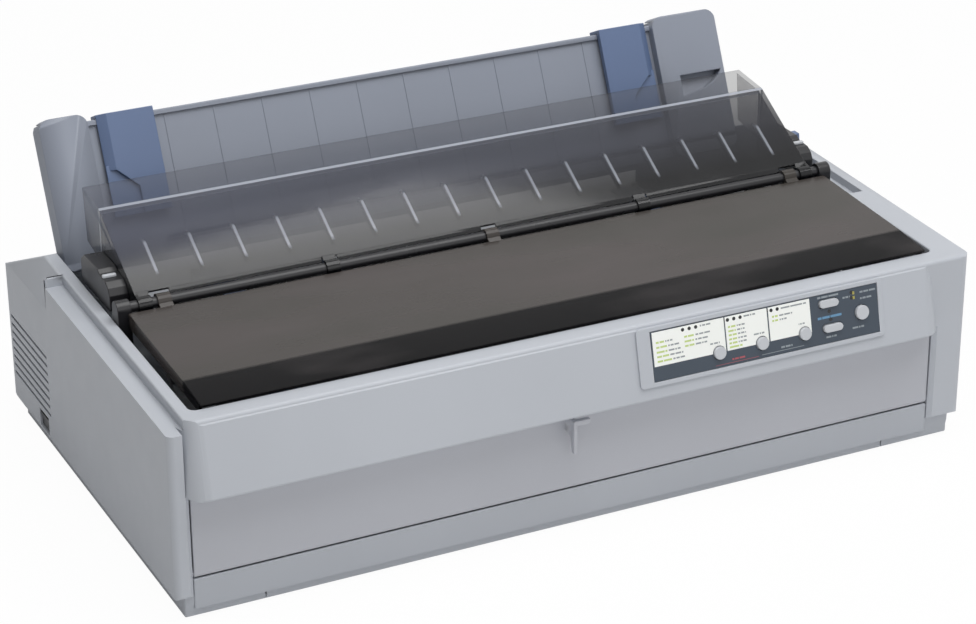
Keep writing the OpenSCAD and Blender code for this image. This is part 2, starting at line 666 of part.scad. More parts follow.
// Paper guide: two hollow wings, the ribbed sheet between them, its top rim and two pivot pins.
module paper_guide() datum() color(color_guide) guide_frame() {
    wing(-guide_side, sheet_x0);
    difference() {
        union() {
            wing(sheet_x1, guide_side);
            box(sheet_x1 + 10, guide_side - 1, guide_front + 1, guide_front + notch_d + guide_skin,
                notch_z - 26, notch_z + guide_skin);
        }
        intersection() {
            along_y(guide_front - 1, guide_front + notch_d) polygon([[notch_x, notch_z - 16],
                [notch_x, notch_z], [guide_side - 4, notch_z], [guide_side - 6, notch_z - 4],
                [guide_side - 11, notch_z - 8], [guide_side - 19, notch_z - 12]]);
            along_x(notch_x - 1, guide_side) polygon([[guide_front - 2, notch_z - 24],
                [guide_front - 2, notch_z + 1], [guide_front + notch_d, notch_z + 1],
                [guide_front + notch_d, notch_z - 4]]);
        }
    }
    box(sheet_x0 - guide_skin, sheet_x1 + guide_skin, sheet_front, sheet_front + guide_skin, -6,
        sheet_top);
    box(sheet_x0 - guide_skin, sheet_x1 + guide_skin, sheet_front - 2.5, sheet_front + 6,
        sheet_top - 4, sheet_top);
    for (i = [0:9]) let (x = sheet_x0 + 60 + i * (sheet_x1 - sheet_x0 - 120) / 9)
        box(x, x + 1.2, sheet_front - 0.5, sheet_front + eps, 4, sheet_top - 4);
    both_sides() bar_x(guide_side - guide_skin, open_side + wall - 0.5, 0, 0, pin_r);
}

// Edge guide: a blade with a cut lower corner and a slanting outer flange, before a base layer
// that slides along the sheet, hooked over its rim; outer says which side has the flange.
module edge_guide(x0, outer) datum() color(color_blue) guide_frame()
    translate([x0 + edge_w / 2, guide_front, 0]) mirror([outer < 0 ? 0 : 1, 0, 0])
    translate([-edge_w / 2, 0, 0]) {
        along_y(0, blade_t) polygon([[flange_w, blade_top], [edge_w, blade_top],
            [edge_w, blade_low], [blade_cut, blade_low], [blade_cut, blade_low + 20],
            [flange_w, blade_low + 34]]);
        translate([0, 0, blade_low + 34]) linear_extrude(height = edge_len - 34) polygon([
            [flange_w, 0], [flange_w + blade_t, 0.9], [blade_t, flange_d], [0, flange_d]]);
        along_y(0, flange_d) polygon([[flange_w, blade_low + 34], [blade_cut, blade_low + 20],
            [blade_cut, blade_low], [blade_cut + blade_t, blade_low],
            [blade_cut + blade_t, blade_low + 21], [flange_w, blade_low + 36.4]]);
        box(0, blade_cut + 4, flange_d - blade_t, flange_d, blade_low, blade_low + 38);
        box(edge_w - blade_t, edge_w, 0, flange_d, blade_low, blade_top);
        translate([0, 0, sheet_top + gap]) linear_extrude(height = blade_top - sheet_top - gap)
            polygon([[flange_w, 0], [edge_w, 0], [edge_w, hook_d], [0, hook_d], [0, flange_d]]);
        box(flange_w, edge_w - flange_w, hook_d - 3 + gap, hook_d, sheet_top - 12,
            sheet_top + gap + eps);
    }

lever_x = open_side + pocket_w / 2;
lever_w = 7;
lever_y = 36;
lever_z = rim_front_h - pocket_d - wall - 8;
lever_len = 38;

// Paper release lever with a ridged tip and a pivot pin.
module release_lever() datum() color(color_blue) difference() {
    union() {
        along_x(lever_x - lever_w / 2, lever_x + lever_w / 2) union() {
            translate([lever_y, lever_z]) circle(r = 5);
            polygon([[lever_y - 4, lever_z], [lever_y + 4, lever_z],
                [lever_y + 11, lever_z + lever_len - 12],
                [lever_y + 12, lever_z + lever_len], [lever_y + 5, lever_z + lever_len],
                [lever_y + 4, lever_z + lever_len - 12]]);
        }
        bar_x(open_side + 0.3, lever_x + lever_w - 0.3, lever_y, lever_z, pin_r);
    }
    for (i = [0:2]) bar_x(lever_x - lever_w, lever_x + lever_w, lever_y + 3.6,
        lever_z + lever_len - 3 - 3 * i, 0.9);
}

// ---------------------------------------------------------------- Control panel

plate_t = 1.2;
plate_z = fascia_low + 13.1;
lamp_r = 1.3;
key_z = plate_z + 0.3 * plate_h;
keys = [[plate_end - 131.6, key_z, key_r], [plate_end - 97, key_z, key_r],
    [plate_end - 62, key_z, key_r], [plate_end - 14.2, plate_z + 0.48 * plate_h, pause_r]];
pills = [[plate_end - 41, plate_z + 0.81 * plate_h], [plate_end - 39, key_z]];
lamps = concat(
    [for (g = [[159.3, 3], [124.9, 3], [89.8, 2]]) for (i = [0:g[1] - 1])
        [plate_end - g[0] + 5 * i, plate_z + 0.92 * plate_h]],
    [[plate_end - 21.2, plate_z + 0.92 * plate_h], [plate_end - 21.2, plate_z + 0.81 * plate_h],
     [plate_end - 40.6, plate_z + 0.64 * plate_h], [plate_end - 39.8, plate_z + 0.47 * plate_h]]);
plate_y = y_front - bezel_t + 0.2;
board_y = y_front + wall + 7;
key_travel = 1.2;

module key_holes(y0, y1, grow) {
    for (k = keys) bar_y(k[0], y0, y1, k[1], k[2] + grow);
    for (k = pills) along_y(y0, y1) translate(k)
        rounded(pill_l + 2 * grow, pill_h + 2 * grow, pill_h / 2 - eps);
}

module lamp_holes(y0, y1, r) for (p = lamps) bar_y(p[0], y0, y1, p[1], r);

// Slate label plate with clearance holes for the buttons and indicators.
module label_plate() datum() color(color_plate) fascia_frame() difference() {
    box(plate_x, plate_x + plate_w, plate_y, plate_y + plate_t, plate_z, plate_z + plate_h);
    key_holes(plate_y - 1, plate_y + plate_t + 1, gap);
    lamp_holes(plate_y - 1, plate_y + plate_t + 1, lamp_r + 0.1);
}

module indicator_lenses() datum() color(color_black) fascia_frame()
    lamp_holes(plate_y + 0.1, board_y, lamp_r);

module round_button(k) datum() color(color_key) fascia_frame() {
    bar_y(k[0], plate_y - key_rise, y_front + wall + 1.6, k[1], k[2]);
    bar_y(k[0], y_front + wall + 0.4, y_front + wall + 1.6, k[1], k[2] + 1.3);
}

module pill_button(k) datum() color(color_key) fascia_frame() {
    along_y(plate_y - key_rise, y_front + wall + 1.6) translate(k)
        rounded(pill_l, pill_h, pill_h / 2 - eps);
    along_y(y_front + wall + 0.4, y_front + wall + 1.6) translate(k)
        rounded(pill_l + 2.6, pill_h + 2.6, pill_h / 2 - eps);
}

// Circuit board behind the panel, with one switch body behind each button.
module panel_board() datum() color(color_board) fascia_frame() {
    box(plate_x, plate_x + plate_w, board_y, board_y + 1.6, plate_z - 4, plate_z + plate_h);
    for (k = concat(keys, pills)) box(k[0] - 3, k[0] + 3,
        y_front + wall + 1.6 + key_travel + 0.4, board_y + eps, k[1] - 3, k[1] + 3);
}

// ---------------------------------------------------------------- Chassis

frame_side = open_side - frame_gap;
carriage_y = platen_y - 68;
carriage_z = platen_z - 34;
rail_y = carriage_y - 52;
rail_z = carriage_z - 4;
tractor_teeth = 24;
drive_y = platen_y + gear_m * (platen_teeth + tractor_teeth) / 2;
support_y = drive_y + 36;
support_z = platen_z - 3;
support_r = 4;
frame_y0 = rail_y - 12;
frame_y1 = support_y + 20;
frame_top = frame_floor + frame_t;
boss_places = [for (x = [-frame_side + 12, -90, 90, frame_side - 12])
    for (y = [frame_y0 + 10, frame_y1 - 10]) [x, y]];
screw_r = 1.9;

cartridge_rest = platen_z - 6;
pinion_teeth = 15;
pinion_angle = -60;
pinion_y = platen_y + gear_m * (platen_teeth + pinion_teeth) / 2 * cos(pinion_angle);
pinion_z = platen_z + gear_m * (platen_teeth + pinion_teeth) / 2 * sin(pinion_angle);
bail_y = platen_y + 32;
bail_z = platen_z + 20;
bail_pin = 2.5;

// Folded steel base plate with flanges, screw holes and the stud of the idler pulley.
module base_frame() datum() color(color_zinc) {
    difference() {
        union() {
            box(-frame_side - 10, frame_side + 10, frame_y0, frame_y1, frame_floor, frame_top);
            box(-frame_side + 30, frame_side - 30, frame_y0, frame_y0 + frame_t, frame_floor,
                frame_top + 12);
            box(-frame_side + 30, frame_side - 30, frame_y1 - frame_t, frame_y1, frame_floor,
                frame_top + 12);
        }
        for (p = boss_places) translate([p[0], p[1], frame_floor - 1])
            cylinder(h = frame_t + 2, r = screw_r + 0.3);
        for (i = [0:5]) box(-180 + 62 * i, -150 + 62 * i, -20, 20, frame_floor - 1, frame_top + 1);
    }
    translate([pulley_x, pulley_y, frame_top - eps])
        cylinder(h = belt_z - frame_top + belt_h + 4, r = 3);
    translate([pulley_x, pulley_y, frame_top - eps]) cylinder(h = belt_z - frame_top - 1.9, r = 7);
}

module side_frame(right) difference() {
    union() {
        along_x(frame_side, frame_side + frame_t) offset(r = 4, $fn = 24) offset(delta = -4)
            polygon([[frame_y0, frame_top], [frame_y0, cartridge_rest],
                [frame_y0 + 22, cartridge_rest], [platen_y - 60, platen_z + 20],
                [platen_y - 16, platen_z + 31], [platen_y + 26, platen_z + 31],
                [drive_y + 16, platen_z + 20], [frame_y1 - 4, platen_z + 10],
                [frame_y1, frame_top]]);
        box(frame_side, frame_side + frame_t + 8, frame_y0 + 20, frame_y1 - 20, frame_top,
            frame_top + frame_t);
    }
    bar_x(frame_side - 20, frame_side + 9, platen_y, platen_z, shaft_r + run_fit);
    bar_x(frame_side - 20, frame_side + 9, carriage_y, carriage_z, guide_shaft_r + run_fit);
    bar_x(frame_side - 20, frame_side + 9, drive_y, platen_z, square_side / 2 + run_fit);
    bar_x(frame_side - 20, frame_side + 9, support_y, support_z, support_r + run_fit);
    bar_x(frame_side - 20, frame_side + 9, bail_y, bail_z, bail_pin + run_fit);
    if (right) bar_x(frame_side - 20, frame_side + 9, pinion_y, pinion_z, 6);
    for (p = [[carriage_y + 18, frame_top + 23], [drive_y - 2, frame_top + 25]])
        translate([frame_side - 1, p[0], p[1]]) rotate([0, 90, 0])
            cylinder(h = frame_t + 2, r = 13);
}

module side_frame_left() datum() color(color_zinc) mirror([1, 0, 0]) side_frame(false);
module side_frame_right() datum() color(color_zinc) side_frame(true);

// ---------------------------------------------------------------- Paper feed

platen_side = frame_side - 27;
gear_x0 = frame_side + frame_t + 2;
gear_w = 8;

module platen() datum() color(color_black) difference() {
    bar_x(-platen_side, platen_side, platen_y, platen_z, platen_r);
    bar_x(-platen_side - 1, platen_side + 1, platen_y, platen_z, shaft_r);
}

module platen_shaft() datum() color(color_steel)
    bar_x(-frame_side - frame_t - 6, x_knob - 5, platen_y, platen_z, shaft_r);

// Fluted knob with a hub that passes through the side panel.
module paper_knob() datum() color(color_black) difference() {
    union() {
        along_x(case_side + 2, x_knob) translate([platen_y, platen_z]) difference() {
            circle(r = knob_r);
            for (a = [0:15:345]) rotate(a) translate([knob_r + 0.7, 0]) circle(r = 1.8, $fn = 16);
        }
        bar_x(case_side - 8, case_side + 2 + eps, platen_y, platen_z, knob_r / 2);
    }
    bar_x(case_side - 9, x_knob - 5, platen_y, platen_z, shaft_r);
    along_x(x_knob - 2, x_knob + 1) translate([platen_y, platen_z]) ring(knob_r - 3, knob_r - 6);
}

function gear_outline(n, phase) = [for (i = [0:n - 1]) for (t = [[-0.28, -1.1], [-0.09, 0.85],
    [0.09, 0.85], [0.28, -1.1]]) let (a = phase + 360 / n * (i + t[0]), r = gear_m * (n / 2 + t[1]))
    [r * cos(a), r * sin(a)]];

module gear(n, phase, y, z, bore) difference() {
    along_x(gear_x0, gear_x0 + gear_w) translate([y, z]) polygon(gear_outline(n, phase));
    bar_x(gear_x0 - 1, gear_x0 + gear_w + 1, y, z, bore);
}

module platen_gear() datum() color(color_key) difference() {
    gear(platen_teeth, 0, platen_y, platen_z, shaft_r);
    for (a = [0:60:300]) bar_x(gear_x0 - 1, gear_x0 + gear_w + 1,
        platen_y + platen_teeth * gear_m / 3.4 * cos(a + 30),
        platen_z + platen_teeth * gear_m / 3.4 * sin(a + 30), platen_teeth * gear_m / 12);
}

module feed_pinion() datum() color(color_steel) {
    gear(pinion_teeth, pinion_angle + 180 + 180 / pinion_teeth, pinion_y, pinion_z, 2.5);
    bar_x(frame_side - 10, gear_x0 + gear_w, pinion_y, pinion_z, 2.5);
}

module feed_motor() datum() color(color_black) difference() {
    union() {
        bar_x(frame_side - 23, frame_side, pinion_y, pinion_z, 20);
        bar_x(frame_side - 1, frame_side + frame_t + 0.5, pinion_y, pinion_z, 5.5);
    }
    bar_x(frame_side - 11, frame_side + frame_t + 2, pinion_y, pinion_z, 2.5 + run_fit);
}

module tractor_gear() datum() color(color_key)
    gear(tractor_teeth, 180 / tractor_teeth, drive_y, platen_z, square_side / 2);

module tractor_drive_shaft() datum() color(color_steel) {
    box(-frame_side + 4, frame_side - 4, drive_y - square_side / 2, drive_y + square_side / 2,
        platen_z - square_side / 2, platen_z + square_side / 2);
    bar_x(-frame_side - frame_t - 4, -frame_side + 5, drive_y, platen_z, square_side / 2);
    bar_x(frame_side - 5, gear_x0 + gear_w + 1, drive_y, platen_z, square_side / 2);
}

module tractor_guide_shaft() datum() color(color_steel)
    bar_x(-frame_side - frame_t - 3, frame_side + frame_t + 3, support_y, support_z, support_r);

tractor_x = platen_side - 59;
tractor_r = 15;
hub_r = square_side * 0.75 + 1;
slot_half = 5.5;
lid_z = platen_z + tractor_r + 1.2;
lid_x = -tractor_w / 2 + 3;
lid_r = 1.8;
lid_pin = 1;

// Tractor housing: two cheeks round the sprocket, joined by a web, sliding on the guide shaft.
module tractor_body() difference() {
    union() {
        along_x(-tractor_w / 2, tractor_w / 2) union() {
            translate([drive_y, platen_z]) circle(r = tractor_r);
            translate([support_y, support_z]) circle(r = tractor_r - 3);
            polygon([[drive_y, platen_z + tractor_r], [support_y, support_z + tractor_r - 3],
                [support_y, support_z - tractor_r + 3], [drive_y, platen_z - tractor_r]]);
        }
        for (y = [drive_y - 11, support_y + 3]) box(-tractor_w / 2, lid_x + 2.6, y, y + 3,
            platen_z, lid_z + 4.4);
    }
    bar_y(lid_x, drive_y - 12, support_y + 7, lid_z + lid_r, lid_pin + run_fit);
    box(-slot_half, slot_half, drive_y - tractor_r - 1, drive_y + tractor_r + 2,
        platen_z - tractor_r - 1, platen_z + tractor_r + 1);
    bar_x(-tractor_w, tractor_w, drive_y, platen_z, hub_r + run_fit);
    bar_x(-tractor_w, tractor_w, support_y, support_z, support_r + run_fit);
}

// Sprocket with a square bore and a ring of feed pins.
module tractor_sprocket() difference() {
    union() {
        bar_x(-tractor_w / 2, tractor_w / 2, drive_y, platen_z, hub_r);
        bar_x(-slot_half + gap, slot_half - gap, drive_y, platen_z, tractor_r - 3);
        for (a = [0:60:300]) translate([0, drive_y, platen_z]) rotate([a, 0, 0])
            cylinder(h = tractor_r + 1.2, r = 1.6);
    }
    box(-tractor_w, tractor_w, drive_y - square_side / 2 - 0.3, drive_y + square_side / 2 + 0.3,
        platen_z - square_side / 2 - 0.3, platen_z + square_side / 2 + 0.3);
}

// Hinged lid that holds the paper edge on the pins.
module tractor_lid() {
    difference() {
        union() {
            box(lid_x + 4.6, tractor_w / 2, drive_y - 11, support_y + 6, lid_z, lid_z + 2);
            box(lid_x, lid_x + 6, drive_y - 7.4, support_y + 2.4, lid_z, lid_z + 2);
            bar_y(lid_x, drive_y - 7.4, support_y + 2.4, lid_z + lid_r, lid_r);
        }
        box(-slot_half + 1, slot_half, drive_y - 7, drive_y + 14, lid_z - 1, lid_z + 1.2);
    }
    bar_y(lid_x, drive_y - 10.5, support_y + 5.5, lid_z + lid_r, lid_pin);
}

module tractor_left() datum() color(color_key) translate([-tractor_x, 0, 0]) tractor_body();
module tractor_left_sprocket() datum() color(color_black) translate([-tractor_x, 0, 0])
    tractor_sprocket();
module tractor_left_lid() datum() color(color_blue) translate([-tractor_x, 0, 0]) tractor_lid();
module tractor_right() datum() color(color_key) translate([tractor_x, 0, 0])
    mirror([1, 0, 0]) tractor_body();
module tractor_right_sprocket() datum() color(color_black) translate([tractor_x, 0, 0])
    tractor_sprocket();
module tractor_right_lid() datum() color(color_blue) translate([tractor_x, 0, 0])
    mirror([1, 0, 0]) tractor_lid();

bail_roller_r = 5;
bail_bar_y = platen_y - 5;
bail_bar_z = platen_z + sqrt(pow(platen_r + bail_roller_r + 0.4, 2) - 25);

// Paper bail: a bar with rollers above the platen, on two arms pinned to the side frames.
module paper_bail() datum() color(color_black) {
    bar_x(-frame_side + 3, frame_side - 3, bail_bar_y, bail_bar_z, 2);
    for (x = [-190:76:190]) bar_x(x - 9, x + 9, bail_bar_y, bail_bar_z, bail_roller_r);
    both_sides() {
        along_x(frame_side - 4.5, frame_side - 1.5) polygon([[bail_bar_y - 3, bail_bar_z - 3],
            [bail_bar_y - 3, bail_bar_z + 3], [bail_y, bail_z + 6], [bail_y + 5, bail_z + 3],
            [bail_y + 5, bail_z - 3], [bail_y, bail_z - 5]]);
        bar_x(frame_side - 2, frame_side + frame_t + 1, bail_y, bail_z, bail_pin);
    }
}

// ---------------------------------------------------------------- Print head carriage

belt_h = 6;
belt_z = carriage_z - 12;
pulley_x = frame_side - 20;
pulley_y = carriage_y - 28;
pulley_r = 8;
belt_t = 1.2;

module carriage_shaft() datum() color(color_steel)
    bar_x(-frame_side - frame_t - 2, frame_side + frame_t + 2, carriage_y, carriage_z, guide_shaft_r);

module rear_rail() datum() color(color_zinc) {
    box(-frame_side, frame_side, rail_y, rail_y + 12, rail_z, rail_z + frame_t);
    box(-frame_side, frame_side, rail_y, rail_y + frame_t, rail_z - 10, rail_z + frame_t);
}

// Carriage: bearing block on the guide shaft, arm to the rail, belt clamp and head seat.
module carriage() datum() color(color_black) difference() {
    union() {
        along_x(-carriage_w / 2, carriage_w / 2) polygon([[rail_y + 1, rail_z + frame_t + 0.4],
            [rail_y + 1, rail_z + 18], [carriage_y - 20, rail_z + 20], [carriage_y + 14, rail_z + 20],
            [carriage_y + 14, rail_z - 8], [carriage_y - 12, rail_z - 8],
            [carriage_y - 14, rail_z + frame_t + 0.4]]);
        box(-12, 12, pulley_y + pulley_r - 3, carriage_y - 11, belt_z - 3, rail_z + 10);
    }
    bar_x(-carriage_w, carriage_w, carriage_y, carriage_z, guide_shaft_r + run_fit);
    box(-14, 14, pulley_y + pulley_r - 0.4, pulley_y + pulley_r + belt_t + 0.4, belt_z - 4,
        belt_z + belt_h + 0.4);
}

head_y1 = platen_y - platen_r - 1.9;

// Print head: finned body with a tapered nose that points at the platen.
module print_head() datum() color(color_black) {
    along_x(-13, 13) polygon([[carriage_y - 12, rail_z + 20], [carriage_y - 12, platen_z + 14],
        [carriage_y + 20, platen_z + 14], [head_y1 - 8, platen_z + 5], [head_y1, platen_z + 4],
        [head_y1, platen_z - 4], [head_y1 - 8, platen_z - 6], [carriage_y + 16, rail_z + 20]]);
    for (i = [0:5]) along_x(-22, 22) translate([carriage_y - 10 + 6 * i, rail_z + 22])
        square([2.5, platen_z + 18 - rail_z - 22]);
}

module carriage_motor() datum() color(color_black) difference() {
    translate([-pulley_x, pulley_y, frame_top]) cylinder(h = belt_z - frame_top - 3, r = 19);
    translate([-pulley_x, pulley_y, belt_z - 20]) cylinder(h = 30, r = 2.5 + run_fit);
}

module pulley(bore) difference() {
    union() {
        translate([0, 0, belt_z]) cylinder(h = belt_h, r = pulley_r - 0.05);
        translate([0, 0, belt_z - 1.4]) cylinder(h = 1.2, r = pulley_r + 2);
        translate([0, 0, belt_z + belt_h + 0.2]) cylinder(h = 1.2, r = pulley_r + 2);
        translate([0, 0, belt_z - 1.4]) cylinder(h = belt_h + 2.8, r = pulley_r - 0.5);
    }
    translate([0, 0, belt_z - 3]) cylinder(h = belt_h + 8, r = bore);
}

module drive_pulley() datum() color(color_zinc) translate([-pulley_x, pulley_y, 0]) {
    pulley(2.5);
    translate([0, 0, belt_z - 18]) cylinder(h = belt_h + 20, r = 2.5);
}

module idler_pulley() datum() color(color_zinc) translate([pulley_x, pulley_y, 0])
    pulley(3 + run_fit);

// Toothed belt round both pulleys.
module timing_belt() datum() color(color_black) translate([0, pulley_y, belt_z])
    linear_extrude(height = belt_h) difference() {
        union() {
            both_sides() translate([pulley_x, 0]) circle(r = pulley_r + belt_t);
            square([2 * pulley_x, 2 * (pulley_r + belt_t)], center = true);
        }
        union() {
            both_sides() translate([pulley_x, 0]) circle(r = pulley_r);
            square([2 * pulley_x, 2 * pulley_r], center = true);
        }
    }

cartridge_side = platen_side + 1;
cartridge_y0 = carriage_y - 92;
cartridge_y1 = cartridge_y0 + 44;
ribbon_y = platen_y - platen_r - 1.3;
arm_w = 9;

// Ribbon cartridge: a long box with two arms that carry the ribbon past the platen.
module ribbon_cartridge() datum() color(color_black) difference() {
    union() {
        translate([0, (cartridge_y0 + cartridge_y1) / 2, cartridge_rest + 2])
            linear_extrude(height = 22) rounded(2 * cartridge_side, cartridge_y1 - cartridge_y0, 6);
        both_sides() {
            along_x(cartridge_side - arm_w, cartridge_side) polygon([
                [cartridge_y1 - 8, cartridge_rest + 2], [cartridge_y1 - 8, cartridge_rest + 24],
                [cartridge_y1 + 10, cartridge_rest + 22], [ribbon_y - 1, platen_z + 7],
                [ribbon_y - 1, platen_z - 7], [cartridge_y1 + 6, cartridge_rest + 2]]);
            box(cartridge_side - 2, frame_side + frame_t + 2, frame_y0 + 6, frame_y0 + 15,
                cartridge_rest, cartridge_rest + 7);
        }
    }
    for (i = [-4:4]) translate([52 * i - 17, cartridge_y0 + 8, cartridge_rest + 22.8])
        cube([34, 20, 3]);
    translate([-cartridge_side + 30, cartridge_y0 + 18, cartridge_rest + 14])
        cylinder(h = 20, r = 4 + run_fit);
}

// Inked ribbon stretched between the cartridge arms, with a short return at each end.
module ink_ribbon() datum() color(color_black) {
    box(-cartridge_side, cartridge_side, ribbon_y, ribbon_y + 0.3, platen_z - 6, platen_z + 6);
    both_sides() box(cartridge_side - arm_w, cartridge_side - 1, ribbon_y - 1, ribbon_y + eps,
        platen_z - 6, platen_z + 6);
}

module ribbon_knob() datum() color(color_blue)
    translate([-cartridge_side + 30, cartridge_y0 + 18, 0]) {
        translate([0, 0, cartridge_rest + 24.5]) linear_extrude(height = 7) difference() {
            circle(r = 11);
            for (a = [0:30:330]) rotate(a) translate([11.6, 0]) circle(r = 1.8, $fn = 16);
        }
        translate([0, 0, cartridge_rest + 15]) cylinder(h = 10, r = 4);
    }

// ---------------------------------------------------------------- Electronics

board_x0 = -20;
board_z = tray_floor + 12;
inlet_x = -skirt_side + 50;
inlet_w = 30;
inlet_h = 24;
inlet_z = panel_bottom + 16;
port_x = 160;
port_w = 110;
port_h = 20;
port_z = panel_bottom + 16;
supply_y0 = frame_y1 + 4;
supply_y1 = skirt_rear - wall - 7;

module main_board() datum() color(color_board) {
    box(board_x0, skirt_side - 52, supply_y0, supply_y1, board_z, board_z + 1.6);
    for (c = [[0, 14, 9, 16], [32, 30, 8, 20], [80, 16, 22, 10], [120, 34, 6, 24], [172, 26, 10, 18]])
        box(board_x0 + 8 + c[0], board_x0 + 8 + c[0] + c[1], supply_y0 + 6, supply_y0 + 6 + c[3],
            board_z + 1.6 - eps, board_z + 1.6 + c[2]);
}

module power_supply() datum() color(color_zinc) {
    difference() {
        box(-skirt_side + 20, board_x0 - 30, supply_y0, supply_y1, tray_floor, tray_floor + 44);
        for (i = [0:9]) box(-skirt_side + 40 + 18 * i, -skirt_side + 50 + 18 * i, supply_y0 + 8,
            supply_y1 - 8, tray_floor + 42.5, tray_floor + 45);
    }
}

// Mains inlet: a flanged socket with a recess and three blades.
module ac_inlet() datum() color(color_black) {
    difference() {
        union() {
            box(inlet_x - inlet_w / 2, inlet_x + inlet_w / 2, supply_y1, y_rear,
                inlet_z - inlet_h / 2, inlet_z + inlet_h / 2);
            box(inlet_x - inlet_w / 2 - 4, inlet_x + inlet_w / 2 + 4, y_rear, y_rear + 1.6,
                inlet_z - inlet_h / 2 - 2, inlet_z + inlet_h / 2 + 2);
        }
        box(inlet_x - inlet_w / 2 + 3, inlet_x + inlet_w / 2 - 3, y_rear - 10, y_rear + 2,
            inlet_z - inlet_h / 2 + 3.5, inlet_z + inlet_h / 2 - 3.5);
    }
    for (x = [-7, 0, 7]) box(inlet_x + x - 1, inlet_x + x + 1, y_rear - 10 - eps, y_rear - 1,
        inlet_z - 3 + (x == 0 ? 3 : 0), inlet_z + 2 + (x == 0 ? 3 : 0));
}

// Rocker switch in the left wall: a rocking key with a pivot pin.
module power_switch() datum() color(color_black) {
    along_y(rocker_y - rocker_l / 2, rocker_y + rocker_l / 2) translate([rocker_x, rocker_z])
        rotate(rocker_tilt) polygon([[-5.6, rocker_h / 2 - 1], [-4.9, 0], [-5.6, 1 - rocker_h / 2],
            [3, -2], [3, 2]]);
    bar_y(rocker_x, rocker_y - rocker_l / 2 - 3, rocker_y + rocker_l / 2 + 3, rocker_z, rocker_pin);
}

module interface_ports() datum() color(color_zinc) {
    box(port_x - port_w / 2, port_x + port_w / 2, y_rear - wall, y_rear - wall + 1.2,
        port_z - port_h / 2, port_z + port_h / 2);
    box(port_x - 40, port_x + 45, supply_y1 - 4, supply_y1 + 1, board_z + 1.6, port_z + 6);
    difference() {
        box(port_x - 40, port_x + 20, supply_y1, y_rear + 2, port_z - 6, port_z + 6);
        box(port_x - 38, port_x + 18, y_rear - 6, y_rear + 3, port_z - 4.5, port_z + 4.5);
    }
    box(port_x - 34, port_x + 14, y_rear - 6 - eps, y_rear, port_z - 1.2, port_z + 1.2);
    difference() {
        box(port_x + 32, port_x + 45, supply_y1, y_rear + 1, port_z - 6, port_z + 6);
        box(port_x + 33, port_x + 44, y_rear - 7, y_rear + 2, port_z - 5, port_z + 5);
    }
}

// Screws that fix the base plate to the bosses of the base tray.
module case_screws() datum() color(color_steel) for (p = boss_places) translate([p[0], p[1], 0]) {
    translate([0, 0, frame_top]) cylinder(h = 2.2, r = 3.8);
    translate([0, 0, frame_floor - 5]) cylinder(h = frame_t + 6, r = screw_r);
}

// ---------------------------------------------------------------- assembly
lower_case();
rubber_feet();
upper_case();
paper_shelf();
front_cover();
printer_cover();
cover_rod();
rod_brackets();
rear_flap();
flap_ears();
paper_guide();
edge_guide(edge_left_x, -1);  // edge_guide_left
edge_guide(edge_right_x, 1);  // edge_guide_right
release_lever();
label_plate();
indicator_lenses();
round_button(keys[0]);  // button_1
round_button(keys[1]);  // button_2
round_button(keys[2]);  // button_3
pill_button(pills[0]);  // button_up
pill_button(pills[1]);  // button_down
round_button(keys[3]);  // button_pause
panel_board();
base_frame();
side_frame_left();
side_frame_right();
platen();
platen_shaft();
paper_knob();
platen_gear();
feed_motor();
feed_pinion();
tractor_gear();
tractor_drive_shaft();
tractor_guide_shaft();
tractor_left();
tractor_left_sprocket();
tractor_left_lid();
tractor_right();
tractor_right_sprocket();
tractor_right_lid();
paper_bail();
carriage_shaft();
rear_rail();
carriage();
print_head();
carriage_motor();
drive_pulley();
idler_pulley();
timing_belt();
ribbon_cartridge();
ink_ribbon();
ribbon_knob();
main_board();
power_supply();
ac_inlet();
power_switch();
interface_ports();
case_screws();
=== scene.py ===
import json
import math

import bmesh
import bpy
from mathutils import Matrix, Vector

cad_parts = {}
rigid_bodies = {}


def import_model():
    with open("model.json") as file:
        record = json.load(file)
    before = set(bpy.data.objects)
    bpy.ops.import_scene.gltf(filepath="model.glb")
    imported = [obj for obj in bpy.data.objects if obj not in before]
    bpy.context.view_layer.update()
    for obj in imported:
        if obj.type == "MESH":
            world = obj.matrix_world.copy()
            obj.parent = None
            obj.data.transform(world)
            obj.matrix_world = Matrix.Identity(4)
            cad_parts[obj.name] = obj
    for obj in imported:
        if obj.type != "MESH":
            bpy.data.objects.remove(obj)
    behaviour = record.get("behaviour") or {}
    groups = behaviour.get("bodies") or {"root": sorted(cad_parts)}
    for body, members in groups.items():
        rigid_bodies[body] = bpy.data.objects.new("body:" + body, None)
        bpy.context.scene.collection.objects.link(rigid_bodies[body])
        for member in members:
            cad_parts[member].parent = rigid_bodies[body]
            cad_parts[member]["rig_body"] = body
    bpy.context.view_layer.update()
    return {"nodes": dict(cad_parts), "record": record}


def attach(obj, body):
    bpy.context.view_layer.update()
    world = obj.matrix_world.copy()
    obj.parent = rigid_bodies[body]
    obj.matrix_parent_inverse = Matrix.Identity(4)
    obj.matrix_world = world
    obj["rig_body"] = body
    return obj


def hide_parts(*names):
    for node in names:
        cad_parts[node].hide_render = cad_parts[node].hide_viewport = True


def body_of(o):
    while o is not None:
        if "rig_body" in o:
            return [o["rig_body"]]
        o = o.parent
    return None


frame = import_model()
NODES = frame["nodes"]
SCENE = bpy.context.scene

# ---------------------------------------------------------------- Camera, light and floor

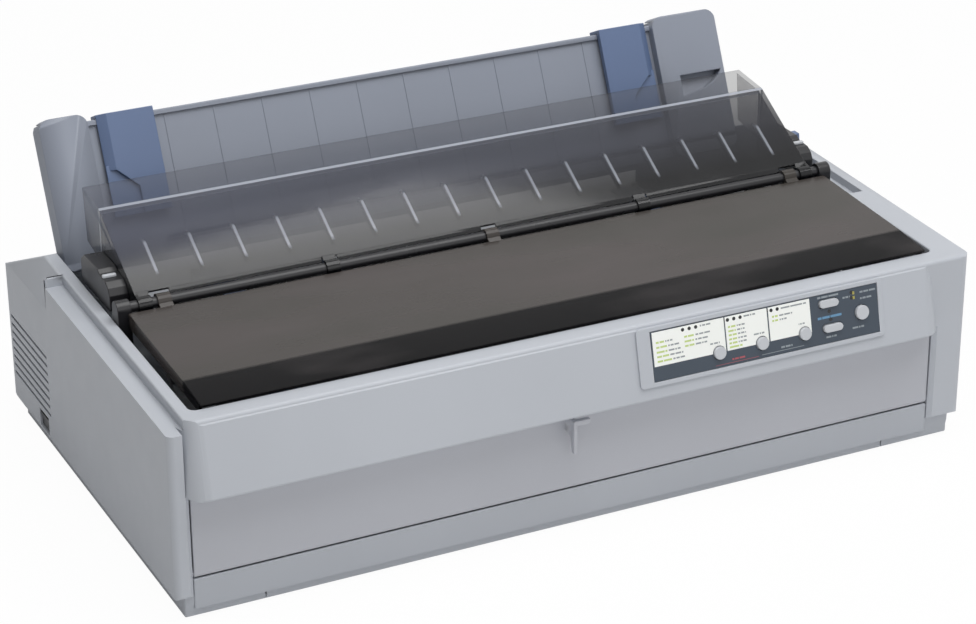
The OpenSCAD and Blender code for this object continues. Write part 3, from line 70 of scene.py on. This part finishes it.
# The middle of the case stands here in the frame, in mm.
CASE_MIDDLE = Vector((-11.5, -15.4076, 0))
CAMERA_PLACE = (-0.8420, -1.7205, 0.9673)
CAMERA_AZIMUTH = math.radians(26.11)
CAMERA_DOWN = math.radians(24.75)
CAMERA_ROLL = math.radians(-0.27)
CAMERA_LENS = 104.48
LAMPS = [
    # name, place, aims at, width, height, power
    ("top_softbox", (0.2, -0.5, 1.9), (0.0, -0.05, 0.1), 1.9, 1.5, 31),
    ("front_softbox", (0.1, -2.3, 1.0), (0.0, 0.0, 0.1), 1.6, 1.2, 6.2),
]
ROOM_LIGHT = 0.26
FLOOR_GLOW = 0.97
FLOOR_HALF = 6.0


def make_camera():
    side = Vector((math.cos(CAMERA_AZIMUTH), -math.sin(CAMERA_AZIMUTH), 0))
    ahead = Vector((math.sin(CAMERA_AZIMUTH) * math.cos(CAMERA_DOWN),
                    math.cos(CAMERA_AZIMUTH) * math.cos(CAMERA_DOWN), -math.sin(CAMERA_DOWN)))
    up = side.cross(ahead)
    right = side * math.cos(CAMERA_ROLL) + up * math.sin(CAMERA_ROLL)
    up = up * math.cos(CAMERA_ROLL) - side * math.sin(CAMERA_ROLL)
    data = bpy.data.cameras.new("camera")
    data.lens, data.sensor_width = CAMERA_LENS, 36
    data.clip_start, data.clip_end = 0.05, 50
    camera = bpy.data.objects.new("camera", data)
    turn = Matrix((right, up, -ahead)).transposed().to_4x4()
    camera.matrix_world = Matrix.Translation(CAMERA_PLACE) @ turn
    SCENE.collection.objects.link(camera)
    SCENE.camera = camera


def make_lamps():
    for name, place, target, width, height, power in LAMPS:
        data = bpy.data.lights.new(name, "AREA")
        data.shape, data.size, data.size_y, data.energy = "RECTANGLE", width, height, power
        lamp = bpy.data.objects.new(name, data)
        lamp.location = place
        lamp.rotation_euler = (Vector(target) - Vector(place)).to_track_quat("-Z", "Y").to_euler()
        SCENE.collection.objects.link(lamp)


def make_room():
    world = bpy.data.worlds.new("studio")
    world.use_nodes = True
    nodes, links = world.node_tree.nodes, world.node_tree.links
    nodes.clear()
    rays = nodes.new("ShaderNodeLightPath")
    seen = nodes.new("ShaderNodeMath")
    seen.operation = "MAXIMUM"
    links.new(rays.outputs["Is Camera Ray"], seen.inputs[0])
    glossy = nodes.new("ShaderNodeMath")
    glossy.operation = "MAXIMUM"
    links.new(rays.outputs["Is Glossy Ray"], glossy.inputs[0])
    links.new(rays.outputs["Is Transmission Ray"], glossy.inputs[1])
    links.new(glossy.outputs[0], seen.inputs[1])
    strength = nodes.new("ShaderNodeMapRange")
    strength.inputs["To Min"].default_value = ROOM_LIGHT
    strength.inputs["To Max"].default_value = 1.0
    links.new(seen.outputs[0], strength.inputs["Value"])
    light = nodes.new("ShaderNodeBackground")
    light.inputs["Color"].default_value = (1, 1, 1, 1)
    links.new(strength.outputs[0], light.inputs["Strength"])
    links.new(light.outputs[0], nodes.new("ShaderNodeOutputWorld").inputs["Surface"])
    SCENE.world = world
    SCENE.view_settings.view_transform = "Standard"


def make_floor():
    mesh = bpy.data.meshes.new("floor")
    side = FLOOR_HALF
    mesh.from_pydata([(-side, -side, 0), (side, -side, 0), (side, side, 0), (-side, side, 0)], [],
                     [(0, 1, 2, 3)])
    floor = bpy.data.objects.new("floor", mesh)
    SCENE.collection.objects.link(floor)
    material = bpy.data.materials.new("floor")
    material.use_nodes = True
    nodes, links = material.node_tree.nodes, material.node_tree.links
    nodes.clear()
    rays = nodes.new("ShaderNodeLightPath")
    share = nodes.new("ShaderNodeMath")
    share.operation = "MULTIPLY"
    share.inputs[1].default_value = FLOOR_GLOW
    links.new(rays.outputs["Is Camera Ray"], share.inputs[0])
    matte = nodes.new("ShaderNodeBsdfDiffuse")
    matte.inputs["Color"].default_value = (0.9, 0.9, 0.9, 1)
    glow = nodes.new("ShaderNodeEmission")
    glow.inputs["Color"].default_value = (1, 1, 1, 1)
    mix = nodes.new("ShaderNodeMixShader")
    links.new(share.outputs[0], mix.inputs["Fac"])
    links.new(matte.outputs[0], mix.inputs[1])
    links.new(glow.outputs[0], mix.inputs[2])
    links.new(mix.outputs[0], nodes.new("ShaderNodeOutputMaterial").inputs["Surface"])
    mesh.materials.append(material)


# ---------------------------------------------------------------- Materials

# The fascia leans by this many degrees about a line along X, at this y and z of the case in mm.
FASCIA_LEAN = 14
LEAN_Y, LEAN_Z = -174, 147
# The rear flap's ribs: how far the first stands from the case's middle and their pitch, in mm.
RIB_END, RIB_PITCH = 215, 430 / 13


def linear(red, green, blue):
    """A colour written as 0 to 255 display values, in the scene's linear values."""
    return [((v / 255 + 0.055) / 1.055) ** 2.4 if v > 10 else v / 255 / 12.92
            for v in (red, green, blue)]


def new_material(name):
    material = bpy.data.materials.new(name)
    material.use_nodes = True
    shader = material.node_tree.nodes["Principled BSDF"]
    return material, material.node_tree, shader


def noise(tree, scale, detail=4.0, stretch=(1, 1, 1)):
    place = tree.nodes.new("ShaderNodeTexCoord")
    mapping = tree.nodes.new("ShaderNodeMapping")
    mapping.inputs["Scale"].default_value = stretch
    texture = tree.nodes.new("ShaderNodeTexNoise")
    texture.inputs["Scale"].default_value = scale
    texture.inputs["Detail"].default_value = detail
    tree.links.new(place.outputs["Object"], mapping.inputs["Vector"])
    tree.links.new(mapping.outputs["Vector"], texture.inputs["Vector"])
    return texture.outputs["Fac"]


def spread(tree, value, low, high, start=0.3, end=0.7):
    """The value, which runs from start to end, spread from low to high."""
    ramp = tree.nodes.new("ShaderNodeMapRange")
    ramp.inputs["From Min"].default_value = start
    ramp.inputs["From Max"].default_value = end
    ramp.inputs["To Min"].default_value = low
    ramp.inputs["To Max"].default_value = high
    tree.links.new(value, ramp.inputs["Value"])
    return ramp.outputs["Result"]


def along(tree, axis):
    """The place on the object along one axis, in metres."""
    place = tree.nodes.new("ShaderNodeTexCoord")
    parts = tree.nodes.new("ShaderNodeSeparateXYZ")
    tree.links.new(place.outputs["Object"], parts.inputs[0])
    return parts.outputs[axis]


def blend_colours(tree, share, first, second):
    """A colour between the two, which are colour values or sockets, by the share socket."""
    mix = tree.nodes.new("ShaderNodeMix")
    mix.data_type = "RGBA"
    for socket, colour in (("A", first), ("B", second)):
        if isinstance(colour, bpy.types.NodeSocket):
            tree.links.new(colour, mix.inputs[socket])
        else:
            mix.inputs[socket].default_value = (*colour, 1)
    tree.links.new(share, mix.inputs["Factor"])
    return mix.outputs["Result"]


def maths(tree, operation, first, second, third=0.0):
    """One maths node, whose first value is a socket and the others are numbers or sockets."""
    node = tree.nodes.new("ShaderNodeMath")
    node.operation = operation
    for number, value in enumerate((first, second, third)):
        if isinstance(value, bpy.types.NodeSocket):
            tree.links.new(value, node.inputs[number])
        else:
            node.inputs[number].default_value = value
    return node.outputs[0]


def drifting(tree, colour, change, value):
    """Colour that drifts by the given share either way."""
    dark = [c * (1 - change) for c in colour]
    pale = [min(1, c * (1 + change)) for c in colour]
    return blend_colours(tree, spread(tree, value, 0, 1), dark, pale)


def bump(tree, shader, value, height, strength=1.0):
    node = tree.nodes.new("ShaderNodeBump")
    node.inputs["Distance"].default_value = height
    node.inputs["Strength"].default_value = strength
    tree.links.new(value, node.inputs["Height"])
    tree.links.new(node.outputs["Normal"], shader.inputs["Normal"])


def plastic(name, colour, rough=0.45, grain=0.00003, drift=0.02, coat=0.0, specular=0.5):
    """Injection-moulded plastic: fine pebble grain, slight colour drift and uneven gloss."""
    material, tree, shader = new_material(name)
    tree.links.new(drifting(tree, linear(*colour), drift, noise(tree, 9, 3)),
                   shader.inputs["Base Color"])
    tree.links.new(spread(tree, noise(tree, 60, 4), rough - 0.04, rough + 0.04),
                   shader.inputs["Roughness"])
    bump(tree, shader, noise(tree, 1400, 2), grain)
    shader.inputs["Coat Weight"].default_value = coat
    shader.inputs["Specular IOR Level"].default_value = specular
    return material


def cover_smoke():
    """Dark smoked cover with faint flow patches, whose lip in front of the bend is glossy black
    with pale blotches that are painted highlights.
    """
    material, tree, shader = new_material("smoke_plastic")
    patches = blend_colours(tree, spread(tree, noise(tree, 11, 5, (0.5, 1.6, 1)), 0, 1),
                            linear(58, 56, 51), linear(74, 67, 66))
    lip = spread(tree, along(tree, "Y"), 1, 0, row(0, -128, 0).y, row(0, -125, 0).y)
    # Painted highlights: pale blotches on the lip in front of the bend.
    pale = maths(tree, "MULTIPLY", lip,
                 spread(tree, noise(tree, 17, 3, (0.4, 1, 1)), 0, 1, 0.5, 0.66))
    colour = blend_colours(tree, lip, patches, linear(12, 11, 13))
    tree.links.new(blend_colours(tree, pale, colour, linear(50, 47, 48)),
                   shader.inputs["Base Color"])
    tree.links.new(spread(tree, noise(tree, 30, 4), 0.2, 0.27), shader.inputs["Roughness"])
    bump(tree, shader, noise(tree, 5, 2, (0.3, 1, 1)), 0.0003, 0.25)
    tree.links.new(spread(tree, lip, 0.28, 0.07, 0, 1), shader.inputs["Specular IOR Level"])
    shader.inputs["Alpha"].default_value = 0.94
    material.surface_render_method = "BLENDED"
    return material


def rib_highlight_mask(tree):
    """One on the flap's ribs and on the skin in front of them, nought elsewhere: where the ribs'
    painted highlights go.
    """
    place = maths(tree, "MULTIPLY_ADD", along(tree, "X"), 1000 / RIB_PITCH,
                  (RIB_END - CASE_MIDDLE.x) / RIB_PITCH)
    off_rib = maths(tree, "MULTIPLY", maths(tree, "PINGPONG", place, 0.5), RIB_PITCH)
    across = spread(tree, off_rib, 1, 0, 0.8, 1.3)
    low = spread(tree, along(tree, "Z"), 0, 1, 0.1725, 0.175)
    high = spread(tree, along(tree, "Z"), 1, 0, 0.187, 0.1885)
    return maths(tree, "MULTIPLY", across, maths(tree, "MULTIPLY", low, high))


def flap_smoke():
    """Smoked plastic of the rear flap: dark at its foot by painted shade, clearer above, pale on
    ribs and crease by painted highlights, and painted shading from lighter at its left end to
    darker at its right.
    """
    material, tree, shader = new_material("flap_plastic")
    # Painted shading: lighter at the flap's left end, darker towards its right end.
    base = blend_colours(tree, spread(tree, along(tree, "X"), 0, 1, -0.28, 0.25),
                         linear(84, 87, 102), linear(52, 53, 60))
    cloudy_and_shaded = blend_colours(tree, spread(tree, noise(tree, 14, 5, (0.25, 4, 1)), 0, 0.35), base,
                           linear(30, 31, 36))
    # Painted highlight: a pale band along the crease.
    crease = maths(tree, "MULTIPLY",
                   spread(tree, along(tree, "Y"), 0, 1, row(0, 54.4, 0).y, row(0, 55, 0).y),
                   spread(tree, along(tree, "Y"), 1, 0, row(0, 57, 0).y, row(0, 57.8, 0).y))
    # Painted highlights: the crease and the ribs are drawn pale.
    pale = maths(tree, "MAXIMUM", crease, maths(tree, "MULTIPLY", rib_highlight_mask(tree), 0.75))
    # Painted shade: the flap darkens towards its foot, where the dark interior lies behind it.
    foot = spread(tree, along(tree, "Z"), 0, 1, 0.172, 0.19)
    cloudy_and_shaded = blend_colours(tree, foot, linear(16, 17, 20), cloudy_and_shaded)
    tree.links.new(blend_colours(tree, pale, cloudy_and_shaded, linear(166, 171, 182)),
                   shader.inputs["Base Color"])
    tree.links.new(spread(tree, noise(tree, 30, 4), 0.09, 0.14), shader.inputs["Roughness"])
    bump(tree, shader, noise(tree, 5, 2, (0.3, 1, 1)), 0.0003, 0.25)
    shader.inputs["Specular IOR Level"].default_value = 0.4
    slope = spread(tree, along(tree, "Z"), 0.9, 0.6, 0.168, 0.2)
    strip = spread(tree, along(tree, "Y"), 1, 0.45, row(0, 56, 0).y, row(0, 59, 0).y)
    solid = maths(tree, "MAXIMUM", maths(tree, "MULTIPLY", slope, strip),
                  maths(tree, "MULTIPLY", pale, 0.9))
    tree.links.new(solid, shader.inputs["Alpha"])
    material.surface_render_method = "BLENDED"
    return material


def metal(name, colour, rough, stretch):
    """Rolled or ground metal with brushing along one direction."""
    material, tree, shader = new_material(name)
    lines = noise(tree, 300, 5, stretch)
    tree.links.new(drifting(tree, linear(*colour), 0.06, lines), shader.inputs["Base Color"])
    shader.inputs["Metallic"].default_value = 1.0
    tree.links.new(spread(tree, lines, rough - 0.06, rough + 0.06), shader.inputs["Roughness"])
    bump(tree, shader, lines, 0.00002)
    return material


def row(x, y, z):
    """A point of the case, in mm from its middle and its floor, in the frame's metres."""
    return (Vector((x, y, z)) + CASE_MIDDLE) / 1000


def panel(x, y, z):
    """A point of the leaning control panel, drawn upright, in the frame's metres."""
    turn = math.radians(FASCIA_LEAN)
    ahead, up = y - LEAN_Y, z - LEAN_Z
    return row(x, ahead * math.cos(turn) + up * math.sin(turn) + LEAN_Y,
               up * math.cos(turn) - ahead * math.sin(turn) + LEAN_Z)


MATERIALS = {
    "case_plastic": plastic("case_plastic", (186, 190, 197), 0.42),
    "base_plastic": plastic("base_plastic", (178, 182, 189)),
    "front_plastic": plastic("front_plastic", (184, 186, 193)),
    "guide_plastic": plastic("guide_plastic", (141, 147, 160)),
    "blue_plastic": plastic("blue_plastic", (97, 115, 149), 0.4),
    "key_plastic": plastic("key_plastic", (196, 199, 204), 0.4),
    "white_plastic": plastic("white_plastic", (222, 222, 216), 0.4),
    "black_plastic": plastic("black_plastic", (34, 34, 37), 0.3, specular=0.4),
    "plate_plastic": plastic("plate_plastic", (62, 72, 84), 0.42, 0.00001),
    "lens_plastic": plastic("lens_plastic", (24, 24, 27), 0.15, 0.0, 0.05, 0.5),
    "smoke_plastic": cover_smoke(),
    "flap_plastic": flap_smoke(),
    "foot_rubber": plastic("foot_rubber", (32, 32, 32), 0.8, 0.00008),
    "platen_rubber": plastic("platen_rubber", (40, 40, 43), 0.7, 0.00005),
    "belt_rubber": plastic("belt_rubber", (30, 30, 31), 0.75, 0.00005),
    "ribbon_fabric": plastic("ribbon_fabric", (22, 22, 26), 0.9, 0.00006),
    "board": plastic("board", (26, 86, 56), 0.3, 0.00003, 0.15),
    "motor_steel": plastic("motor_steel", (38, 38, 40), 0.4),
    "head_metal": plastic("head_metal", (44, 44, 47), 0.45, 0.00006),
    "zinc_steel": metal("zinc_steel", (196, 198, 200), 0.34, (1, 8, 8)),
    "steel": metal("steel", (208, 210, 212), 0.22, (0.3, 6, 6)),
    "port_metal": metal("port_metal", (200, 201, 203), 0.3, (1, 6, 6)),
}
SLOTS = {s["node"]: s["material_slot"] for s in frame["record"]["subparts"]}


def dress_nodes():
    for name, node in NODES.items():
        node.data.materials.clear()
        node.data.materials.append(MATERIALS[SLOTS[name]])


# ---------------------------------------------------------------- Soft edges

# Where the case has its rounded outer edges: lowest corner, highest corner, width, all in mm.
# An edge takes the width of the first box that holds both of its ends.
CASE_EDGES = [
    ((32, -190, 96), (236, -173, 146), 0.5),
    ((-290, -189, 93.5), (284, -171.5, 95), 2.0),
    ((-287, -159, 141), (287, 135, 155), 1.3),
    ((285, -45, 143.5), (301, 61, 154), 0.8),
    ((-309, -168, 138), (-306, 75, 154), 2.4),
    ((306, -168, 138), (309, 75, 154), 2.4),
    ((-297, -168, 140), (-294.4, 75, 154), 1.6),
    ((-309, 71, 126), (-294, 168, 155), 1.5),
    ((294, 73, 126), (309, 168, 155), 1.5),
    ((-309, -168, 18), (309, 175, 20), 1.0),
    ((-309, 173.5, 18), (309, 175, 130), 0.8),
]
# Node, width in mm, and the shortest edge in mm that is rounded.
SOFT_NODES = [
    ("lower_case", 1.2, 3), ("front_cover", 0.9, 3), ("paper_shelf", 1.0, 3),
    ("paper_guide", 0.9, 3), ("printer_cover", 0.5, 3), ("rear_flap", 0.4, 3),
    ("flap_ears", 0.7, 0.3), ("edge_guide_left", 0.5, 2), ("edge_guide_right", 0.5, 2),
    ("release_lever", 0.6, 2), ("rubber_feet", 0.6, 0.2), ("rod_brackets", 0.5, 0.2),
    ("paper_knob", 0.5, 0.4), ("label_plate", 0.15, 0.2), ("power_switch", 0.4, 1),
    ("button_1", 0.5, 0.1), ("button_2", 0.5, 0.1), ("button_3", 0.5, 0.1),
    ("button_up", 0.5, 0.1), ("button_down", 0.5, 0.1), ("button_pause", 0.5, 0.1),
    ("ribbon_cartridge", 0.8, 3), ("carriage", 0.6, 2), ("paper_bail", 0.3, 2),
    ("tractor_left", 0.5, 2), ("tractor_right", 0.5, 2),
    ("tractor_left_lid", 0.4, 2), ("tractor_right_lid", 0.4, 2),
]
# Edges that turn by more than this are drawn sharp or are rounded.
SHARP = math.radians(25)
# A face beside a rounded edge has to be this many times as deep as the rounding is wide.
ROOM = 2.2


def case_width(ends):
    for low, high, width in CASE_EDGES:
        if all(lo <= v <= hi for end in ends for lo, v, hi in zip(low, end, high)):
            return width
    return 0


def roomy(edge, width):
    """Whether both faces beside an edge are deep enough for a rounding of that width."""
    start = edge.verts[0].co
    ahead = (edge.verts[1].co - start).normalized()
    for face in edge.link_faces:
        sides = [(v.co - start) - ahead * (v.co - start).dot(ahead) for v in face.verts]
        if max(side.length for side in sides) < ROOM * width / 1000:
            return False
    return True


def soft_copy(name, width_of, widest, segments=2):
    """A copy of a CAD node whose outward edges are rounded, which stands for the node."""
    node = NODES[name]
    work = bmesh.new()
    work.from_mesh(node.data)
    bmesh.ops.remove_doubles(work, verts=work.verts, dist=1e-6)
    bmesh.ops.dissolve_limit(work, angle_limit=math.radians(0.4), verts=work.verts,
                             edges=work.edges)
    weight = work.edges.layers.float.new("bevel_weight_edge")
    for edge in work.edges:
        turn = edge.calc_face_angle_signed(0)
        edge.smooth = abs(turn) < SHARP
        if turn > SHARP:
            ends = [v.co * 1000 - CASE_MIDDLE for v in edge.verts]
            width = width_of(ends)
            edge[weight] = width / widest if width and roomy(edge, width) else 0
            edge.smooth = edge[weight] > 0
    for face in work.faces:
        face.smooth = True
    mesh = bpy.data.meshes.new(name + "_soft")
    work.to_mesh(mesh)
    work.free()
    if "custom_normal" in mesh.attributes:
        mesh.attributes.remove(mesh.attributes["custom_normal"])
    piece = bpy.data.objects.new(name + "_soft", mesh)
    SCENE.collection.objects.link(piece)
    bevel = piece.modifiers.new("edges", "BEVEL")
    bevel.width, bevel.segments = widest / 1000, segments
    bevel.limit_method, bevel.use_clamp_overlap = "WEIGHT", False
    bevel.loop_slide = False
    piece.modifiers.new("shading", "WEIGHTED_NORMAL").keep_sharp = True
    mesh.materials.append(MATERIALS[SLOTS[name]])
    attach(piece, body_of(node)[0])
    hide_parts(name)


def soften():
    soft_copy("upper_case", case_width, max(width for _, _, width in CASE_EDGES), 3)
    for name, width, shortest in SOFT_NODES:
        soft_copy(name, lambda ends: width if (ends[0] - ends[1]).length > shortest else 0, width)


# ---------------------------------------------------------------- Panel print

# Where the face of the label plate stands on the panel as it is drawn upright, in mm.
PRINT_Y = -175.4
WINDOWS = [
    # left, right, low, high, then the place along the panel of the key that it leaves free
    (43.0, 100.0, 116.2, 140.4, 94.4),
    (101.0, 134.8, 116.2, 140.4, 129.0),
    (135.9, 169.8, 116.2, 140.4, 164.0),
]
# Radius of the ring that a window leaves free around its key.
NOTCH_R = 5.2
# Middles of the dark dots in the windows.
DOTS = [(67.3, 138.0), (72.5, 138.0), (77.7, 138.0), (103.1, 138.0), (108.2, 138.0),
        (113.3, 138.0), (138.4, 138.0), (143.4, 138.0)]
# Rows of short bars that stand where the panel has printed marks: left, right, height on panel.
GREY_ROWS = [
    (81.0, 89.4, 138.2), (116.2, 125.4, 138.2), (146.3, 167.0, 138.0),
    (77.0, 88.5, 132.8), (76.6, 86.4, 129.4), (76.6, 85.6, 126.2), (87.8, 95.4, 123.6),
    (53.0, 58.7, 132.8), (55.0, 63.5, 129.3), (55.0, 64.4, 125.9), (56.0, 66.3, 122.7),
    (58.0, 67.1, 119.4),
    (110.0, 116.4, 132.8), (110.0, 116.0, 129.8), (110.4, 116.9, 126.9), (110.4, 117.1, 123.9),
    (110.4, 116.8, 121.1), (122.9, 131.4, 123.6),
    (144.6, 155.2, 133.2), (144.6, 150.3, 130.2), (159.6, 164.5, 123.8),
]
GREEN_ROWS = [
    (68.0, 75.6, 132.8), (68.0, 75.4, 129.4), (68.0, 75.4, 126.2),
    (45.6, 52.0, 132.8), (45.6, 54.0, 129.3), (45.6, 54.0, 125.9), (45.6, 55.0, 122.7),
    (45.6, 57.0, 119.4),
    (103.0, 109.0, 132.8), (103.0, 109.0, 129.8), (103.0, 109.4, 126.9), (103.0, 109.4, 123.9),
    (103.0, 109.4, 121.1), (103.0, 113.2, 118.3),
    (138.6, 143.4, 133.2), (138.6, 143.4, 130.2),
]
PALE_ROWS = [
    (176.5, 193.8, 139.2), (181.2, 189.8, 110.0), (197.2, 203.2, 135.6), (211.6, 224.5, 137.2),
    (211.6, 221.0, 132.6), (203.4, 213.0, 112.4), (144.0, 153.2, 110.2),
]
# Lines are bars in one piece.
PALE_LINES = [(128.0, 162.6, 107.9)]
RED_ROWS = [(104.1, 114.4, 109.6)]
RED_LINES = [(90.7, 125.4, 107.4)]
AMBER_ROWS = [(205.6, 207.2, 137.6), (205.6, 207.2, 134.2)]
BLUE_ROWS = [(175.5, 195.2, 124.4)]


def printed(name, outlines, colour, height, thick=0.1):
    """Thin raised print on the panel, from outlines in mm across and up."""
    verts, faces = [], []
    for outline in outlines:
        first, count = len(verts), len(outline)
        for y in (PRINT_Y + 0.05, PRINT_Y - height - thick):
            verts += [panel(x, y, z) for x, z in outline]
        faces.append([first + count + i for i in range(count)])
        faces.append([first + i for i in reversed(range(count))])
        for i in range(count):
            j = (i + 1) % count
            faces.append([first + i, first + j, first + count + j, first + count + i])
    mesh = bpy.data.meshes.new(name)
    mesh.from_pydata(verts, [], faces)
    work = bmesh.new()
    work.from_mesh(mesh)
    bmesh.ops.recalc_face_normals(work, faces=work.faces)
    work.to_mesh(mesh)
    work.free()
    mesh.materials.append(plastic(name, colour, 0.5, 0.0, 0.03))
    piece = bpy.data.objects.new(name, mesh)
    SCENE.collection.objects.link(piece)
    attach(piece, "case")


def window(left, right, low, high, key_x):
    """A printed field whose lower edge goes over the key's ring."""
    arc = [math.pi * (1 - i / 14) for i in range(15)]
    ring = [(key_x + NOTCH_R * math.cos(a), low + NOTCH_R * math.sin(a)) for a in arc]
    return [(left, low), *ring, (right, low), (right, high), (left, high)]


def bars(rows, tall, pieces=3, gap=0.7):
    """Rows of short bars, each row cut into uneven pieces."""
    made = []
    for number, (left, right, height) in enumerate(rows):
        shares = [1 + ((number * 7 + i * 5) % 4) for i in range(pieces)]
        unit = (right - left - gap * (pieces - 1)) / sum(shares)
        at = left
        for share in shares:
            made.append([(at, height - tall / 2), (at + share * unit, height - tall / 2),
                         (at + share * unit, height + tall / 2), (at, height + tall / 2)])
            at += share * unit + gap
    return made


def dots(places, radius):
    return [[(x + radius * math.cos(math.tau * i / 16), z + radius * math.sin(math.tau * i / 16))
             for i in range(16)] for x, z in places]


def print_panel():
    printed("panel_windows", [window(*w) for w in WINDOWS], (250, 252, 248), 0.0)
    printed("panel_dots", dots(DOTS, 1.3), (24, 26, 28), 0.05)
    printed("panel_grey_marks", bars(GREY_ROWS, 1.1), (150, 156, 158), 0.05)
    printed("panel_green_marks", bars(GREEN_ROWS, 1.3, 2), (196, 214, 134), 0.05)
    printed("panel_pale_marks", bars(PALE_ROWS, 1.3), (146, 154, 160), 0.0)
    printed("panel_pale_line", bars(PALE_LINES, 0.45, 1), (136, 144, 150), 0.0)
    printed("panel_red_marks", bars(RED_ROWS, 1.3), (166, 84, 92), 0.0)
    printed("panel_red_line", bars(RED_LINES, 0.45, 1), (142, 84, 94), 0.0)
    printed("panel_amber_marks", bars(AMBER_ROWS, 2.2, 1), (168, 160, 84), 0.0)
    printed("panel_blue_marks", bars(BLUE_ROWS, 1.7), (104, 148, 182), 0.0)


# ---------------------------------------------------------------- Small pieces


def bar_piece(name, low, high, width, material, body):
    """A small moulded bar with rounded edges between two corners, in mm of the case."""
    work = bmesh.new()
    bmesh.ops.create_cube(work, size=1)
    size = Vector(high) - Vector(low)
    middle = (Vector(high) + Vector(low)) / 2
    for vert in work.verts:
        vert.co = row(*(m + v * s for m, v, s in zip(middle, vert.co, size)))
    bmesh.ops.bevel(work, geom=work.edges[:], offset=width / 1000, segments=3, profile=0.5,
                    affect="EDGES", clamp_overlap=True)
    mesh = bpy.data.meshes.new(name)
    work.to_mesh(mesh)
    work.free()
    mesh.materials.append(MATERIALS[material])
    mesh.shade_smooth()
    piece = bpy.data.objects.new(name, mesh)
    SCENE.collection.objects.link(piece)
    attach(piece, body)


def add_ear_highlight_bars():
    """Pale raised bars on the hoods at both ends of the rear flap, whose pale colour is a painted
    highlight.
    """
    for side, sign in (("left", -1), ("right", 1)):
        low, high = sorted((sign * 273.5, sign * 283.5))
        # Painted highlight: a pale bar where the hood catches the light.
        bar_piece(f"ear_highlight_bar_{side}", (low, 14.2, 169.8), (high, 17.4, 173.2), 0.8,
                  "key_plastic", "rear_flap")


# The flap's foot closes the gap down to the rod, between the knuckles of both covers.
FOOT_SPANS = [(-245.2, -130.8), (-119.2, -5.8), (5.8, 119.2), (130.8, 245.2)]
# The foot's outline seen from the side: y and z of the case.
FOOT_SIDE = [(-9.6, 166.3), (-12.3, 163.1), (-13.2, 163.9), (-10.6, 167.1)]


def add_flap_foot():
    work = bmesh.new()
    for left, right in FOOT_SPANS:
        ends = [[work.verts.new(row(x, y, z)) for y, z in FOOT_SIDE] for x in (left, right)]
        work.faces.new(ends[0])
        work.faces.new(reversed(ends[1]))
        for i in range(4):
            j = (i + 1) % 4
            work.faces.new((ends[0][i], ends[1][i], ends[1][j], ends[0][j]))
    bmesh.ops.recalc_face_normals(work, faces=work.faces)
    bmesh.ops.bevel(work, geom=work.edges[:], offset=0.0003, segments=2, profile=0.5,
                    affect="EDGES", clamp_overlap=True)
    mesh = bpy.data.meshes.new("flap_foot")
    work.to_mesh(mesh)
    work.free()
    mesh.materials.append(MATERIALS["flap_plastic"])
    mesh.shade_smooth()
    piece = bpy.data.objects.new("flap_foot", mesh)
    SCENE.collection.objects.link(piece)
    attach(piece, "rear_flap")


# ---------------------------------------------------------------- Run

make_camera()
make_lamps()
make_room()
make_floor()
dress_nodes()
soften()
print_panel()
add_ear_highlight_bars()
add_flap_foot()
